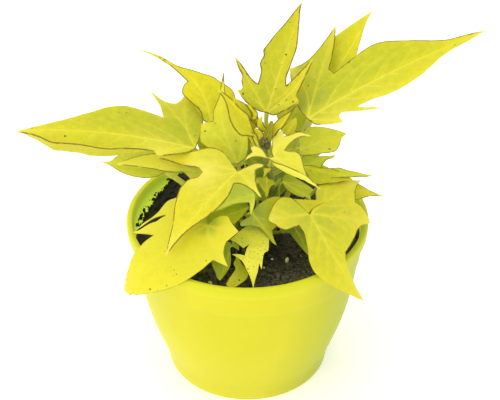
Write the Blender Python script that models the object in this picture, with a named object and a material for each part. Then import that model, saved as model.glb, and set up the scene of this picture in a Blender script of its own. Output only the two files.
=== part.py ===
"""Sweet potato vine with chartreuse, lobed leaves, growing in a lime plastic pot.

The pot stands on z = 0 with its axis on Z. Every size below is in millimetres
and is turned into metres where a mesh is made. A leaf is drawn flat: "along"
runs from the joint with its stalk towards the tip, "aside" is the distance to
the left or right of the midrib, seen from above. The flat blade is then bent.
"""
import math

import bmesh
import bpy
from mathutils import Vector
from mathutils.geometry import delaunay_2d_cdt

MM = 0.001
GAP = 0.3                      # clearance between pieces that touch
MERGE = 0.01                   # points nearer than this are one point
SMOOTH_ANGLE = 40              # degrees: a steeper edge between two faces stays sharp

# ---- pot ---------------------------------------------------------------------
POT_HEIGHT = 94.0
RIM_RADIUS = 65.0
RIM_WIDTH = 3.2                # flat top of the rolled lip
LIP_HEIGHT = 6.5
WALL = 1.5
BAND_HEIGHT = 20.0             # plain band under the rim, ends in a small step
BAND_STEP = 0.6
BODY = (                       # outer radius and height between the foot and the band
    (47.1, 12.0), (49.9, 20.0), (53.2, 30.0), (55.6, 39.0), (57.5, 48.0), (59.4, 61.0))
FOOT_RADIUS = 45.0
FOOT_HEIGHT = 6.5
FOOT_EDGE = 0.8                # the foot's lower edge is broken by this much
FLOOR_LIFT = 3.0               # the base is raised between the foot ring and the centre pad
FOOT_RING_WIDTH = 9.0
PAD_RADIUS = 14.0
DRAIN_HOLE_RADIUS = 2.7
DRAIN_HOLE_CIRCLE = 24.0
DRAIN_HOLES = 6
DRAIN_HOLE_SIDES = 8
POT_SIDES = 48

# ---- soil --------------------------------------------------------------------
SOIL_LEVEL = 79.0              # height of the soil against the wall
SOIL_MOUND = 2.0               # how much higher it stands round the stems
SOIL_RINGS = 5
SOIL_SIDES = 32
SOIL_SLACK = 0.5               # between the soil and the pot's inner wall, along the radius
SOCKET_SIDES = 12

# ---- leaves ------------------------------------------------------------------
BLADE_THICKNESS = 0.6
EDGE_STEP = 6.0                # longest straight stretch of a margin
RIB_STEP = 8.0
RIB_SAMPLES = 64               # a midrib's length is measured over this many short steps

OUT = "curve"                  # the margin runs smoothly through this point
TIP = "tip"                    # a lobe's pointed end, or a tooth
BAY = "bay"                    # the sharp bottom of a gap between two lobes


class Leaf:
    """One blade: where it starts and ends, how it is bent, and its outline."""

    def __init__(self, joint, tip, face, left, right, rise=8, fall=6, fold=(2, 2), curl=(0, 0), stalk=None):
        self.joint = Vector(joint)
        self.tip = Vector(tip)
        self.face = Vector(face)
        self.left = left
        self.right = right
        self.rise = rise       # degrees that the midrib climbs above its chord at the joint
        self.fall = fall       # degrees that it drops towards the chord at the tip
        self.fold = fold       # degrees that the left and right halves are raised
        self.curl = curl       # degrees more for each 10 mm away from the midrib
        self.stalk = stalk     # (stem, height on it, stalk radius)

        chord = self.tip - self.joint
        third = chord.length / 3
        ahead = chord.normalized()
        up = (self.face - self.face.dot(ahead) * ahead).normalized()
        climb, drop = math.radians(rise), math.radians(fall)
        self.rib = (
            self.joint,
            self.joint + third * (math.cos(climb) * ahead + math.sin(climb) * up),
            self.tip - third * (math.cos(drop) * ahead - math.sin(drop) * up),
            self.tip,
        )
        points = [bezier(self.rib, i / RIB_SAMPLES) for i in range(RIB_SAMPLES + 1)]
        self.lengths = [0.0]
        for a, b in zip(points, points[1:]):
            self.lengths.append(self.lengths[-1] + (b - a).length)
        self.length = self.lengths[-1]

    def at(self, along):
        """Midrib point, its direction, the way to the left and the way up."""
        t = 1.0
        for i in range(RIB_SAMPLES):
            if self.lengths[i + 1] >= along:
                span = self.lengths[i + 1] - self.lengths[i]
                t = (i + max(along - self.lengths[i], 0.0) / span) / RIB_SAMPLES
                break
        middle = bezier(self.rib, t)
        ahead = slope(self.rib, t).normalized()
        beyond = min(along, 0.0) + max(along - self.length, 0.0)
        aside = self.face.cross(ahead).normalized()
        return middle + beyond * ahead, ahead, aside, ahead.cross(aside)

    def bend(self, along, aside):
        """The place of a point of the flat blade once the blade is bent."""
        middle, _, left, up = self.at(along)
        half = 0 if aside >= 0 else 1
        angle = math.radians(self.fold[half])
        rate = math.radians(self.curl[half]) / 10
        width = abs(aside)
        if rate == 0:
            out, lift = width * math.cos(angle), width * math.sin(angle)
        else:
            out = (math.sin(angle + rate * width) - math.sin(angle)) / rate
            lift = (math.cos(angle) - math.cos(angle + rate * width)) / rate
        return middle + math.copysign(out, aside) * left + lift * up


def bezier(ends, t):
    a, b, c, d = ends
    s = 1 - t
    return s * s * s * a + 3 * s * s * t * b + 3 * s * t * t * c + t * t * t * d


def slope(ends, t):
    a, b, c, d = ends
    s = 1 - t
    return 3 * s * s * (b - a) + 6 * s * t * (c - b) + 3 * t * t * (d - c)


LEAVES = {
    "far_left": Leaf(
        joint=(-27, 2, 135), tip=(-117, -10, 153), face=(0.05, -0.15, 1), rise=10, fall=14,
        fold=(-22, 4), curl=(-6, 0), stalk=("left_stem", 116.5, 1.2),
        left=[(5, 4), (14, 7), (21, 9, TIP), (23, 7, BAY), (35, 13), (54, 14), (72, 12), (85, 4)],
        right=[(-2, 6), (-5, 26), (-2, 39), (5, 38, TIP), (9, 31, BAY), (16, 32), (23, 35, TIP),
               (17, 21, BAY), (23, 18), (36, 21), (58, 12), (76, 5)]),
    "back_left": Leaf(
        joint=(-19, 22, 137), tip=(-59, 52, 166), face=(0.1, -0.3, 1), rise=10, fall=-14,
        fold=(4, 4), stalk=("left_stem", 110, 1.1),
        left=[(3, 2), (11, 3), (24, -1, TIP), (27, -8, BAY), (35, -8), (46, -7)],
        right=[(-1, 3), (-3, 12, TIP), (1, 15, BAY), (3, 23, TIP), (11, 22), (22, 18), (37, 12), (49, 9)]),
    "inner_left": Leaf(
        joint=(-5, 4, 124), tip=(-12, 18, 174), face=(-0.1, -1, 0.45), rise=5, fall=5,
        fold=(4, 4), stalk=("left_stem", 101, 1.0),
        left=[(1, 5), (8, 12), (15, 16, TIP), (20, 15, BAY), (25, 15, TIP), (26, 10, BAY), (34, 7), (42, 3)],
        right=[(3, 4), (9, 7), (16, 8, TIP), (17, 3, BAY), (23, 0.5), (33, 0), (42, -1)]),
    "top": Leaf(
        joint=(10, 8, 153), tip=(29, 44, 199), face=(0, -0.8, 1), rise=8, fall=6,
        fold=(6, 6), stalk=("main_stem", 118, 1.1),
        left=[(0, 4), (1, 11), (6, 18, TIP), (9, 17, BAY), (17, 20), (22, 24, TIP), (17, 18), (14, 10),
              (16, 8, BAY), (23, 11), (33, 11), (44, 7), (55, 2)],
        right=[(-1, 3), (3, 8), (7, 12), (11, 14, TIP), (14, 12, BAY), (23, 14), (34, 14, TIP), (25, 10),
               (17, 7, BAY), (18, 5, BAY), (29, 4), (40, 4), (51, 1)]),
    "far_right": Leaf(
        joint=(31, 5, 151), tip=(123, 34, 187), face=(-0.15, -0.35, 1), rise=10, fall=6,
        fold=(4, 4), stalk=("main_stem", 121, 1.3),
        left=[(0, 7), (2, 17), (4, 25), (6, 33, TIP), (13, 31), (23, 34), (38, 43, TIP), (30, 29),
              (23, 20, BAY), (24, 16, BAY), (33, 18), (51, 20), (67, 13), (83, 4), (93, 2)],
        right=[(2, 5), (6, 10), (15, 14, TIP), (16, 9, BAY), (24, 13), (34, 19, TIP), (28, 14), (26, 9, BAY),
               (41, 12), (59, 11), (79, 4), (94, 2)]),
    "back_right": Leaf(
        joint=(37, 22, 150), tip=(67, 58, 186), face=(0, -0.4, 1), rise=8, fall=0,
        fold=(4, 4), stalk=("main_stem", 125, 1.2),
        left=[(1, 5), (10, 11), (23, 14), (40, 9), (51, 4)],
        right=[(3, 6), (13, 10), (29, 6), (40, 3), (52, 0)]),
    "right_oval": Leaf(
        joint=(26, 14, 125), tip=(52, 21, 131), face=(0.1, -0.5, 1), rise=6, fall=4,
        fold=(3, 3), stalk=("main_stem", 112, 0.9),
        left=[(-3, 4), (1, 8), (9, 10), (18, 8), (25, 4)],
        right=[(1, 4), (9, 6), (17, 7), (23, 3)]),
    "right_middle": Leaf(
        joint=(28, 6, 120), tip=(66, 4, 117), face=(0.1, -0.35, 1), rise=8, fall=6,
        fold=(3, 3), stalk=("main_stem", 96, 0.9),
        left=[(1, 5), (6, 6), (12, 6), (20, 7, TIP), (14, 4), (11, -2, BAY), (19, 0), (28, -0.5)],
        right=[(0, 3), (3, 6), (9, 7), (17, 7), (27, 5), (34, 3)]),
    "right_low": Leaf(
        joint=(40, 6, 110), tip=(73, 4, 103), face=(0.1, -0.35, 1), rise=6, fall=6,
        fold=(3, 3), stalk=("main_stem", 87, 0.9),
        left=[(0, 4), (7, 6), (18, 4), (27, 1)],
        right=[(0, 6), (7, 10), (19, 7), (27, 2)]),
    "front_right": Leaf(
        joint=(32, -26, 113), tip=(60, -50, 75), face=(0.3, -0.5, 1), rise=26, fall=28,
        fold=(-4, 2), curl=(-3, -1), stalk=("main_stem", 97, 1.2),
        left=[(-1, 7), (-1, 15, TIP), (-5, 9, BAY), (-9, 13), (-12, 21), (-12, 32), (-6, 35), (-2, 44, TIP),
              (2, 34), (8, 28, BAY), (13, 29), (22, 27, TIP), (21, 19), (24, 13), (27, 2, BAY), (33, -1),
              (43, -2)],
        right=[(-9, 1), (-14, 3), (-17, 7), (-14, 11), (-11, 19, TIP), (-3, 17), (-1, 13), (2, 9, BAY),
               (9, 11), (16, 15), (24, 19), (34, 16), (45, 8)]),
    "crown": Leaf(
        joint=(13, -12, 139), tip=(37, -28, 130), face=(0.1, -0.5, 1), rise=10, fall=10,
        fold=(4, 0), curl=(0, -4), stalk=("main_stem", 127, 0.8),
        left=[(-3, 4), (-6, 9), (-7, 13), (-6, 16, TIP), (-3, 14, BAY), (1, 15), (3, 20), (9, 21, TIP),
              (4, 16), (3, 7, BAY), (10, 9), (17, 5), (25, 1)],
        right=[(-4, 0), (-9, -1), (-13, 1, TIP), (-11, 2, BAY), (-10, 9, TIP), (-7, 5), (-3, 3, BAY), (2, 3),
               (11, 4), (21, 2)]),
    "front_left": Leaf(
        joint=(-5, -16, 133), tip=(-41, -48, 103), face=(-0.2, -0.5, 1), rise=14, fall=18,
        fold=(0, 0), curl=(-3, -3), stalk=("main_stem", 117, 1.2),
        left=[(-5, 2), (-9, 4), (-11, 8, TIP), (-6, 7, BAY), (-1, 12), (4, 20, TIP), (4, 13), (5, 7),
              (7, 4, BAY), (16, 7), (28, 6), (41, 2), (50, 0.5)],
        right=[(-2, 6), (-5, 13), (-6, 23), (-1, 30, TIP), (4, 27, BAY), (10, 31), (18, 43, TIP), (16, 33),
               (14, 21), (12, 13, BAY), (21, 17), (31, 15), (42, 8), (51, 3)]),
    "left_mid": Leaf(
        joint=(-21, 1, 120), tip=(-66, -3, 128), face=(0, -0.35, 1), rise=8, fall=8,
        fold=(-4, 4), curl=(-3, 0), stalk=("left_stem", 100, 0.9),
        left=[(3, 5), (9, 5, TIP), (13, 2, BAY), (21, 3), (30, 2), (40, 1)],
        right=[(1, 4), (8, 9), (20, 9), (32, 7), (41, 4)]),
    "left_low": Leaf(
        joint=(-42, 8, 117), tip=(-75, 4, 125), face=(0, -0.2, 1), rise=6, fall=8,
        fold=(-4, 4), curl=(-3, 0), stalk=("left_stem", 88, 1.0),
        left=[(2, 5), (9, 7), (20, 8), (28, 5)],
        right=[(0, 6), (9, 10), (21, 7), (29, 3)]),
    "over_rim": Leaf(
        joint=(-20, -34, 112), tip=(-64, -44, 77), face=(-0.3, -0.4, 1), rise=14, fall=34,
        fold=(-4, -4), curl=(-4, -6), stalk=("left_stem", 84, 1.2),
        left=[(-5, -1), (-11, 2), (-11, 5), (-12, 12, TIP), (-4, 14, BAY), (-1, 17), (1, 26, TIP),
              (6, 19, BAY), (12, 20), (21, 21), (34, 19), (46, 13), (52, 9)],
        right=[(-1, 8), (4, 20), (12, 31), (25, 32), (36, 27, TIP), (27, 26), (21, 19, BAY), (30, 21),
               (39, 27, TIP), (33, 16, BAY), (43, 11), (51, 6)]),
    "shade_upper": Leaf(
        joint=(4, -14, 117), tip=(-23, -30, 116), face=(-0.1, -0.4, 1), rise=6, fall=6,
        fold=(0, 0), curl=(-3, -3), stalk=("left_stem", 93, 0.8),
        left=[(3, 5), (9, 11, TIP), (6, 4, BAY), (13, 2), (23, 2)],
        right=[(0, 4), (5, 10), (14, 11), (24, 6)]),
    "shade_lower": Leaf(
        joint=(1, -16, 110), tip=(-25, -28, 105), face=(-0.1, -0.4, 1), rise=6, fall=6,
        fold=(0, 0), curl=(-3, -3), stalk=("left_stem", 97, 0.8),
        left=[(4, 3), (12, 6, TIP), (15, 1, BAY), (25, 1)],
        right=[(0, 3), (7, 6), (17, 7), (27, 4)]),
    "front_middle": Leaf(
        joint=(2, -22, 111), tip=(15, -34, 99), face=(0.1, -0.5, 1), rise=6, fall=6,
        fold=(0, 0), curl=(-3, -3), stalk=("main_stem", 88, 0.9),
        left=[(-2, 6), (-2, 12), (2, 18, TIP), (7, 11, BAY), (14, 8, TIP), (14, 3)],
        right=[(-1, 4), (2, 9, TIP), (7, 4, BAY), (13, -1, TIP), (16, 1)]),
    "curled_small": Leaf(
        joint=(-2, -40, 102), tip=(3, -58, 91), face=(0.1, -0.8, 1), rise=30, fall=30,
        fold=(0, 0), curl=(-8, -8), stalk=("side_shoot", 88, 0.7),
        left=[(-9, 2), (-12, 8), (-8, 13), (-1, 14), (5, 12, TIP), (7, 9, BAY), (15, 6, TIP), (16, 4)],
        right=[(-2, 2), (3, 6, TIP), (8, 3), (14, 2)]),
    "centre_right": Leaf(
        joint=(18, -4, 118), tip=(33, -14, 113), face=(0.1, -0.5, 1), rise=10, fall=10,
        fold=(0, 0), curl=(-3, -3), stalk=("main_stem", 100, 0.7),
        left=[(-1, 5), (6, 6), (16, 6, TIP), (16, 3, BAY)],
        right=[(3, 2), (9, 3), (15, 1, TIP), (15, 0, BAY)]),
    "behind_top": Leaf(
        joint=(22, 14, 137), tip=(19, 36, 146), face=(0.1, -0.5, 1), rise=6, fall=4,
        fold=(0, 0), stalk=("main_stem", 129, 0.8),
        left=[(2, 3), (10, 5), (16, 5)],
        right=[(2, 6), (9, 9), (19, 8)]),
    "under_right": Leaf(
        joint=(23, -13, 99), tip=(32, -31, 86), face=(0.1, -0.5, 1), rise=6, fall=6,
        fold=(0, 0), curl=(-3, -3), stalk=("main_stem", 83, 0.8),
        left=[(1, 4), (8, 8), (17, 7)],
        right=[(0, 5), (3, 8), (7, 3), (14, 1)]),
    "low_back_left": Leaf(
        joint=(-10, 26, 108), tip=(-14, 66, 110), face=(0, -0.2, 1), rise=12, fall=16,
        fold=(4, 4), stalk=("left_stem", 86, 1.0),
        left=[(-2, 5), (3, 10), (10, 12, TIP), (13, 8, BAY), (24, 9), (33, 4)],
        right=[(-2, 5), (3, 10), (9, 12, TIP), (13, 7, BAY), (24, 8), (33, 4)]),
    "low_back_right": Leaf(
        joint=(26, 26, 104), tip=(42, 68, 106), face=(0, -0.2, 1), rise=12, fall=16,
        fold=(4, 4), stalk=("main_stem", 86, 1.0),
        left=[(-2, 5), (3, 11), (9, 14, TIP), (13, 8, BAY), (25, 10), (36, 5)],
        right=[(-2, 5), (3, 10), (10, 13, TIP), (14, 8, BAY), (26, 9), (37, 4)]),
    "young_pink": Leaf(
        joint=(6, 0, 142), tip=(-15, -2, 173), face=(-0.35, -0.6, 1), rise=0, fall=0, fold=(45, 30),
        left=[(5, 1), (10, 4.5), (18, 7), (29, 4)],
        right=[(5, 1), (8, 2.5), (16, 4), (27, 2)]),
    "young_back": Leaf(
        joint=(9, 2.5, 143), tip=(-4, 6, 161), face=(0, -0.6, 1), rise=0, fall=0, fold=(25, 25),
        left=[(7, 1), (12, 2), (17, 1)],
        right=[(7, 1), (10, 3), (16, 3)]),
    "young_narrow": Leaf(
        joint=(12.2, 0.5, 142), tip=(26, 0, 165), face=(0.2, -0.7, 1), rise=0, fall=0, fold=(30, 30),
        left=[(6, 1), (10, 2), (20, 1)],
        right=[(6, 1), (11, 2), (20, 1)]),
    "centre_small": Leaf(
        joint=(10, -2.6, 122), tip=(10, -14, 115), face=(0.1, -0.8, 1), rise=10, fall=10,
        fold=(0, 0), curl=(-3, -3),
        left=[(5, 1), (7, 4), (11, 6, TIP), (13, 3)],
        right=[(5, 1), (7, 2.5), (10, 3, TIP), (12, 1)]),
    "dark_green": Leaf(
        joint=(-7.6, -35.5, 100), tip=(-14, -48, 87), face=(-0.1, -0.7, 1), rise=6, fall=10, fold=(4, 4),
        left=[(1, 2), (4, 4, TIP), (7, 1, BAY), (11, 2), (16, 2)],
        right=[(3, 4), (12, 7), (17, 4)]),
    "browned": Leaf(
        joint=(-6, -35.4, 97), tip=(-10, -54, 88), face=(0, -0.8, 1), rise=6, fall=16,
        fold=(0, 0), curl=(-3, -3),
        left=[(7, 1.5), (11, 5), (14, 7.5), (18, 5)],
        right=[(7, 1.5), (10, 2, TIP), (14, 1, BAY)]),
}

# ---- stems -------------------------------------------------------------------
STEMS = {                      # centre line from the bottom of the socket up, then both radii
    "main_stem": ([(13, 0, 68), (13, 0, 82), (12, 1, 96), (13, -1, 110), (11, 0, 124), (9, 0, 137)], 2.4, 1.3),
    "left_stem": ([(-6, -2, 68), (-6, -2, 82), (-4, -3, 94), (-6, -1, 106), (-5, -2, 119)], 2.0, 1.1),
    "side_shoot": ([(-6, -33, 69), (-6, -33, 82), (-7, -34, 100)], 1.3, 0.9),
}
STEM_SIDES = 8
STALK_SIDES = 6
STALK_STEP = 6.0
CAP_TILT = 0.35                # a stalk's end face leans this much of its radius towards the stem
GROWING_TIP_RADIUS = 2.4
GROWING_TIP_HEIGHT = 7.0

# ---- colours: base colour, roughness -------------------------------------------
LIME_PLASTIC = ((0.70, 0.75, 0.04), 0.45)
SOIL_BROWN = ((0.018, 0.013, 0.009), 0.95)
STEM_GREEN = ((0.35, 0.42, 0.06), 0.55)
BUD_BROWN = ((0.16, 0.10, 0.05), 0.6)
BLADE_YELLOW = ((0.72, 0.72, 0.04), 0.5)


def clear_scene():
    for thing in list(bpy.data.objects):
        bpy.data.objects.remove(thing, do_unlink=True)


def give_material(thing, colour, roughness):
    material = bpy.data.materials.new(thing.name)
    material.use_nodes = True
    shader = material.node_tree.nodes["Principled BSDF"]
    shader.inputs["Base Color"].default_value = (*colour, 1)
    shader.inputs["Roughness"].default_value = roughness
    shader.inputs["Metallic"].default_value = 0
    thing.data.materials.append(material)


def add_object(name, data, finish):
    thing = bpy.data.objects.new(name, data)
    bpy.context.scene.collection.objects.link(thing)
    give_material(thing, *finish)
    return thing


def turned_mesh(name, profile, sides):
    """A closed solid: the profile, in mm, goes from the axis round to the axis again."""
    mesh = bmesh.new()
    corners = [mesh.verts.new((radius * MM, 0, height * MM)) for radius, height in profile]
    edges = [mesh.edges.new(pair) for pair in zip(corners, corners[1:])]
    bmesh.ops.spin(
        mesh, geom=corners + edges, cent=(0, 0, 0), axis=(0, 0, 1), angle=math.tau, steps=sides,
        use_merge=True)
    bmesh.ops.remove_doubles(mesh, verts=mesh.verts, dist=MERGE * MM)
    bmesh.ops.recalc_face_normals(mesh, faces=mesh.faces)
    data = bpy.data.meshes.new(name)
    mesh.to_mesh(data)
    mesh.free()
    data.shade_smooth()
    data.set_sharp_from_angle(angle=math.radians(SMOOTH_ANGLE))
    return data


def add_cutter(name, radius, bottom, top, place, sides):
    """A vertical cylinder that only cuts other pieces."""
    mesh = bmesh.new()
    bmesh.ops.create_cone(
        mesh, cap_ends=True, segments=sides, radius1=radius * MM, radius2=radius * MM,
        depth=(top - bottom) * MM)
    data = bpy.data.meshes.new(name)
    mesh.to_mesh(data)
    mesh.free()
    cutter = bpy.data.objects.new(name, data)
    bpy.context.scene.collection.objects.link(cutter)
    cutter.location = (place[0] * MM, place[1] * MM, (bottom + top) / 2 * MM)
    cutter.hide_render = True
    cutter.display_type = "WIRE"
    return cutter


def cut(thing, cutter):
    boolean = thing.modifiers.new(cutter.name, "BOOLEAN")
    boolean.operation = "DIFFERENCE"
    boolean.solver = "EXACT"
    boolean.object = cutter


def outer_wall():
    """Outer profile of the pot from the foot to the top of the lip: (radius, height)."""
    band_bottom = POT_HEIGHT - BAND_HEIGHT
    lip_bottom = POT_HEIGHT - LIP_HEIGHT
    return [
        (FOOT_RADIUS - FOOT_EDGE, 0.0),
        (FOOT_RADIUS, FOOT_EDGE),
        (FOOT_RADIUS + 0.6, FOOT_HEIGHT),
        *BODY,
        (RIM_RADIUS - 4.1, band_bottom - BAND_STEP),
        (RIM_RADIUS - 3.5, band_bottom),
        (RIM_RADIUS - 2.3, lip_bottom - BAND_STEP),
        (RIM_RADIUS - 0.7, lip_bottom),
        (RIM_RADIUS - 0.1, lip_bottom + 1.6),
        (RIM_RADIUS, POT_HEIGHT - 1.2),
        (RIM_RADIUS - 0.8, POT_HEIGHT),
    ]


def wall_radius(height):
    """Radius of the outer wall at a height."""
    wall = outer_wall()
    for (r0, z0), (r1, z1) in zip(wall, wall[1:]):
        if z0 <= height <= z1 and z1 > z0:
            return r0 + (r1 - r0) * (height - z0) / (z1 - z0)
    return wall[-1][0]


def inner_radius(height):
    """Radius of the inner wall at a height: an even wall under the lip."""
    shoulder = POT_HEIGHT - BAND_HEIGHT
    rim_inside = RIM_RADIUS - RIM_WIDTH
    if height <= shoulder:
        return wall_radius(height) - WALL
    share = (height - shoulder) / (POT_HEIGHT - shoulder)
    start = wall_radius(shoulder) - WALL - BAND_STEP
    return start + (rim_inside - start) * share


def add_pot():
    ring_inside = FOOT_RADIUS - FOOT_RING_WIDTH
    floor = FLOOR_LIFT + WALL
    slant = FLOOR_LIFT / 2
    base = [(0, 0), (PAD_RADIUS, 0), (PAD_RADIUS + slant, FLOOR_LIFT)]
    base += [(ring_inside - slant, FLOOR_LIFT), (ring_inside, 0)]
    lip_inside = RIM_RADIUS - RIM_WIDTH
    rim = [(lip_inside + 0.6, POT_HEIGHT), (lip_inside, POT_HEIGHT - 0.8)]
    shoulder = POT_HEIGHT - BAND_HEIGHT
    inside = [(inner_radius(z), z) for z in [shoulder] + [z for _, z in reversed(BODY)]]
    inside += [(FOOT_RADIUS - WALL, floor + 1.5), (FOOT_RADIUS - WALL - 1.5, floor), (0, floor)]
    pot = add_object("pot", turned_mesh("pot", base + outer_wall() + rim + inside, POT_SIDES), LIME_PLASTIC)
    for i in range(DRAIN_HOLES):
        angle = math.tau * i / DRAIN_HOLES
        place = (DRAIN_HOLE_CIRCLE * math.cos(angle), DRAIN_HOLE_CIRCLE * math.sin(angle))
        cut(pot, add_cutter(f"drain_hole_{i}", DRAIN_HOLE_RADIUS, -1, floor + 1, place, DRAIN_HOLE_SIDES))


def add_soil():
    floor = FLOOR_LIFT + WALL + GAP
    heights = [z for _, z in BODY] + [POT_HEIGHT - BAND_HEIGHT]
    side = [(inner_radius(z) - SOIL_SLACK, z) for z in heights]
    edge = inner_radius(SOIL_LEVEL) - SOIL_SLACK
    foot = FOOT_RADIUS - WALL
    profile = [(0, floor), (foot - 2.3, floor), (foot - SOIL_SLACK - 0.1, floor + 1.8)]
    profile += side + [(edge, SOIL_LEVEL)]
    for i in range(SOIL_RINGS - 1, 0, -1):
        share = i / SOIL_RINGS
        profile.append((edge * share, SOIL_LEVEL + SOIL_MOUND * (1 - share * share)))
    profile.append((0, SOIL_LEVEL + SOIL_MOUND))
    soil = add_object("soil", turned_mesh("soil", profile, SOIL_SIDES), SOIL_BROWN)
    for name, (line, radius, _) in STEMS.items():
        root = line[0]
        top = SOIL_LEVEL + 9
        cut(soil, add_cutter(f"{name}_socket", radius + GAP, root[2] - GAP, top, root, SOCKET_SIDES))


def add_tube(name, points, radii, sides, finish):
    """A round tube along a smooth line, with flat ends."""
    data = bpy.data.curves.new(name, "CURVE")
    data.dimensions = "3D"
    data.bevel_depth = MM
    data.bevel_resolution = (sides - 4) // 2
    data.use_fill_caps = True
    spline = data.splines.new("POLY")
    spline.points.add(len(points) - 1)
    for place, point, radius in zip(points, spline.points, radii):
        point.co = (*(place * MM), 1)
        point.radius = radius
    spline.use_smooth = True
    return add_object(name, data, finish)


def stem_at(name, height):
    """Centre, direction and radius of a stem at a height."""
    line, thick, thin = STEMS[name]
    for a, b in zip(line, line[1:]):
        if a[2] <= height <= b[2]:
            axis = (Vector(b) - Vector(a)).normalized()
            centre = Vector(a).lerp(Vector(b), (height - a[2]) / (b[2] - a[2]))
            break
    whole = (height - line[0][2]) / (line[-1][2] - line[0][2])
    return centre, axis, thick + (thin - thick) * whole


def add_stems():
    for name, (line, thick, thin) in STEMS.items():
        points = [Vector(place) for place in line]
        rise = line[-1][2] - line[0][2]
        radii = [thick + (thin - thick) * (place[2] - line[0][2]) / rise for place in line]
        add_tube(name, points, radii, STEM_SIDES, STEM_GREEN)


def add_growing_tip():
    top = Vector(STEMS["main_stem"][0][-1])
    mesh = bmesh.new()
    bmesh.ops.create_uvsphere(
        mesh, u_segments=STEM_SIDES, v_segments=STALK_SIDES, radius=GROWING_TIP_RADIUS * MM)
    stretch = GROWING_TIP_HEIGHT / 2 / GROWING_TIP_RADIUS
    bmesh.ops.scale(mesh, vec=(1, 1, stretch), verts=mesh.verts)
    centre = (top + Vector((0, 0, GROWING_TIP_HEIGHT / 2 + GAP))) * MM
    bmesh.ops.translate(mesh, vec=centre, verts=mesh.verts)
    data = bpy.data.meshes.new("growing_tip")
    mesh.to_mesh(data)
    mesh.free()
    data.shade_smooth()
    add_object("growing_tip", data, BUD_BROWN)


def add_stalk(name, leaf):
    """The stalk leaves its stem square, then turns up to the underside of the blade."""
    stem, height, radius = leaf.stalk
    centre, axis, stem_radius = stem_at(stem, height)
    joint, ahead, _, up = leaf.at(0)
    droop = math.tan(math.radians(max(0, -min(leaf.fold))))
    end = joint - up * (BLADE_THICKNESS / 2 + GAP + radius * (1 + droop))
    way = end - centre
    way = (way - way.dot(axis) * axis).normalized()
    start = centre + way * (stem_radius + GAP + radius * CAP_TILT)
    reach = (end - start).length
    arrive = (ahead + Vector((0, 0, 1))).normalized()
    ends = (start, start + way * reach * 0.3, end - arrive * reach * 0.35, end)
    steps = max(4, round(reach / STALK_STEP))
    points = [bezier(ends, i / steps) for i in range(steps + 1)]
    add_tube("stalk_" + name, points, [radius] * (steps + 1), STALK_SIDES, STEM_GREEN)


def margin(leaf, knots):
    """The outline of one half, from the joint to the tip, through the half's points.

    Between two points it is a cubic whose ends point along the margin there. A
    tip or a bay has no such direction, so the margin may turn sharply at it.
    """
    ends = [(0, 0, TIP)] + [(*knot, OUT)[:3] for knot in knots] + [(leaf.length, 0, TIP)]
    places = [Vector(knot[:2]) for knot in ends]
    ways = [None] * len(ends)
    for i in range(1, len(ends) - 1):
        if ends[i][2] == OUT:
            before, after = places[i] - places[i - 1], places[i + 1] - places[i]
            mixed = before.normalized() * after.length + after.normalized() * before.length
            ways[i] = mixed.normalized()
    line = [places[0]]
    for i in range(len(ends) - 1):
        step = places[i + 1] - places[i]
        start = ways[i] * step.length if ways[i] else None
        finish = ways[i + 1] * step.length if ways[i + 1] else None
        if start is None and finish is None:
            start = finish = step
        start = start or 1.5 * step - 0.5 * finish
        finish = finish or 1.5 * step - 0.5 * start
        pieces = max(1, math.ceil(step.length / EDGE_STEP))
        for j in range(1, pieces + 1):
            u = j / pieces
            line.append(
                (2 * u**3 - 3 * u**2 + 1) * places[i] + (u**3 - 2 * u**2 + u) * start
                + (3 * u**2 - 2 * u**3) * places[i + 1] + (u**3 - u**2) * finish)
    return line


def add_blade(name, leaf):
    left = margin(leaf, leaf.left)
    right = [Vector((p.x, -p.y)) for p in margin(leaf, leaf.right)]
    outline = left + right[-2:0:-1]
    count = len(outline)
    edges = [(i, (i + 1) % count) for i in range(count)]
    steps = max(2, round(leaf.length / RIB_STEP))
    rib = [Vector((leaf.length * i / steps, 0)) for i in range(1, steps)]
    flat, _, faces, *_ = delaunay_2d_cdt(outline + rib, edges, [], 1, MERGE)
    mesh = bmesh.new()
    corners = [mesh.verts.new(leaf.bend(p.x, p.y) * MM) for p in flat]
    for face in faces:
        mesh.faces.new([corners[i] for i in face])
    loose = [v for v in mesh.verts if not v.link_faces]
    bmesh.ops.delete(mesh, geom=loose, context="VERTS")
    data = bpy.data.meshes.new("leaf_" + name)
    mesh.to_mesh(data)
    mesh.free()
    data.shade_smooth()
    blade = add_object("leaf_" + name, data, BLADE_YELLOW)
    thicken = blade.modifiers.new("thickness", "SOLIDIFY")
    thicken.thickness = BLADE_THICKNESS * MM
    thicken.offset = 0


def main():
    clear_scene()
    add_pot()
    add_soil()
    add_stems()
    add_growing_tip()
    for name, leaf in LEAVES.items():
        if leaf.stalk:
            add_stalk(name, leaf)
        add_blade(name, leaf)


main()
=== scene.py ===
# %% [markdown]
# # A sweet potato vine in a lime pot
# The vine is a bush of thin, pointed leaves on curved stalks, growing from dark
# compost in a moulded plastic pot. The imported model is the fixed frame: it says
# where every piece is. This lesson dresses it, piece by piece. It starts by
# loading that frame.

# %% Load the fixed frame
import math
import random
from dataclasses import dataclass

import bpy
import numpy as np
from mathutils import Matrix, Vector, noise
from mathutils.geometry import delaunay_2d_cdt


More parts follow.
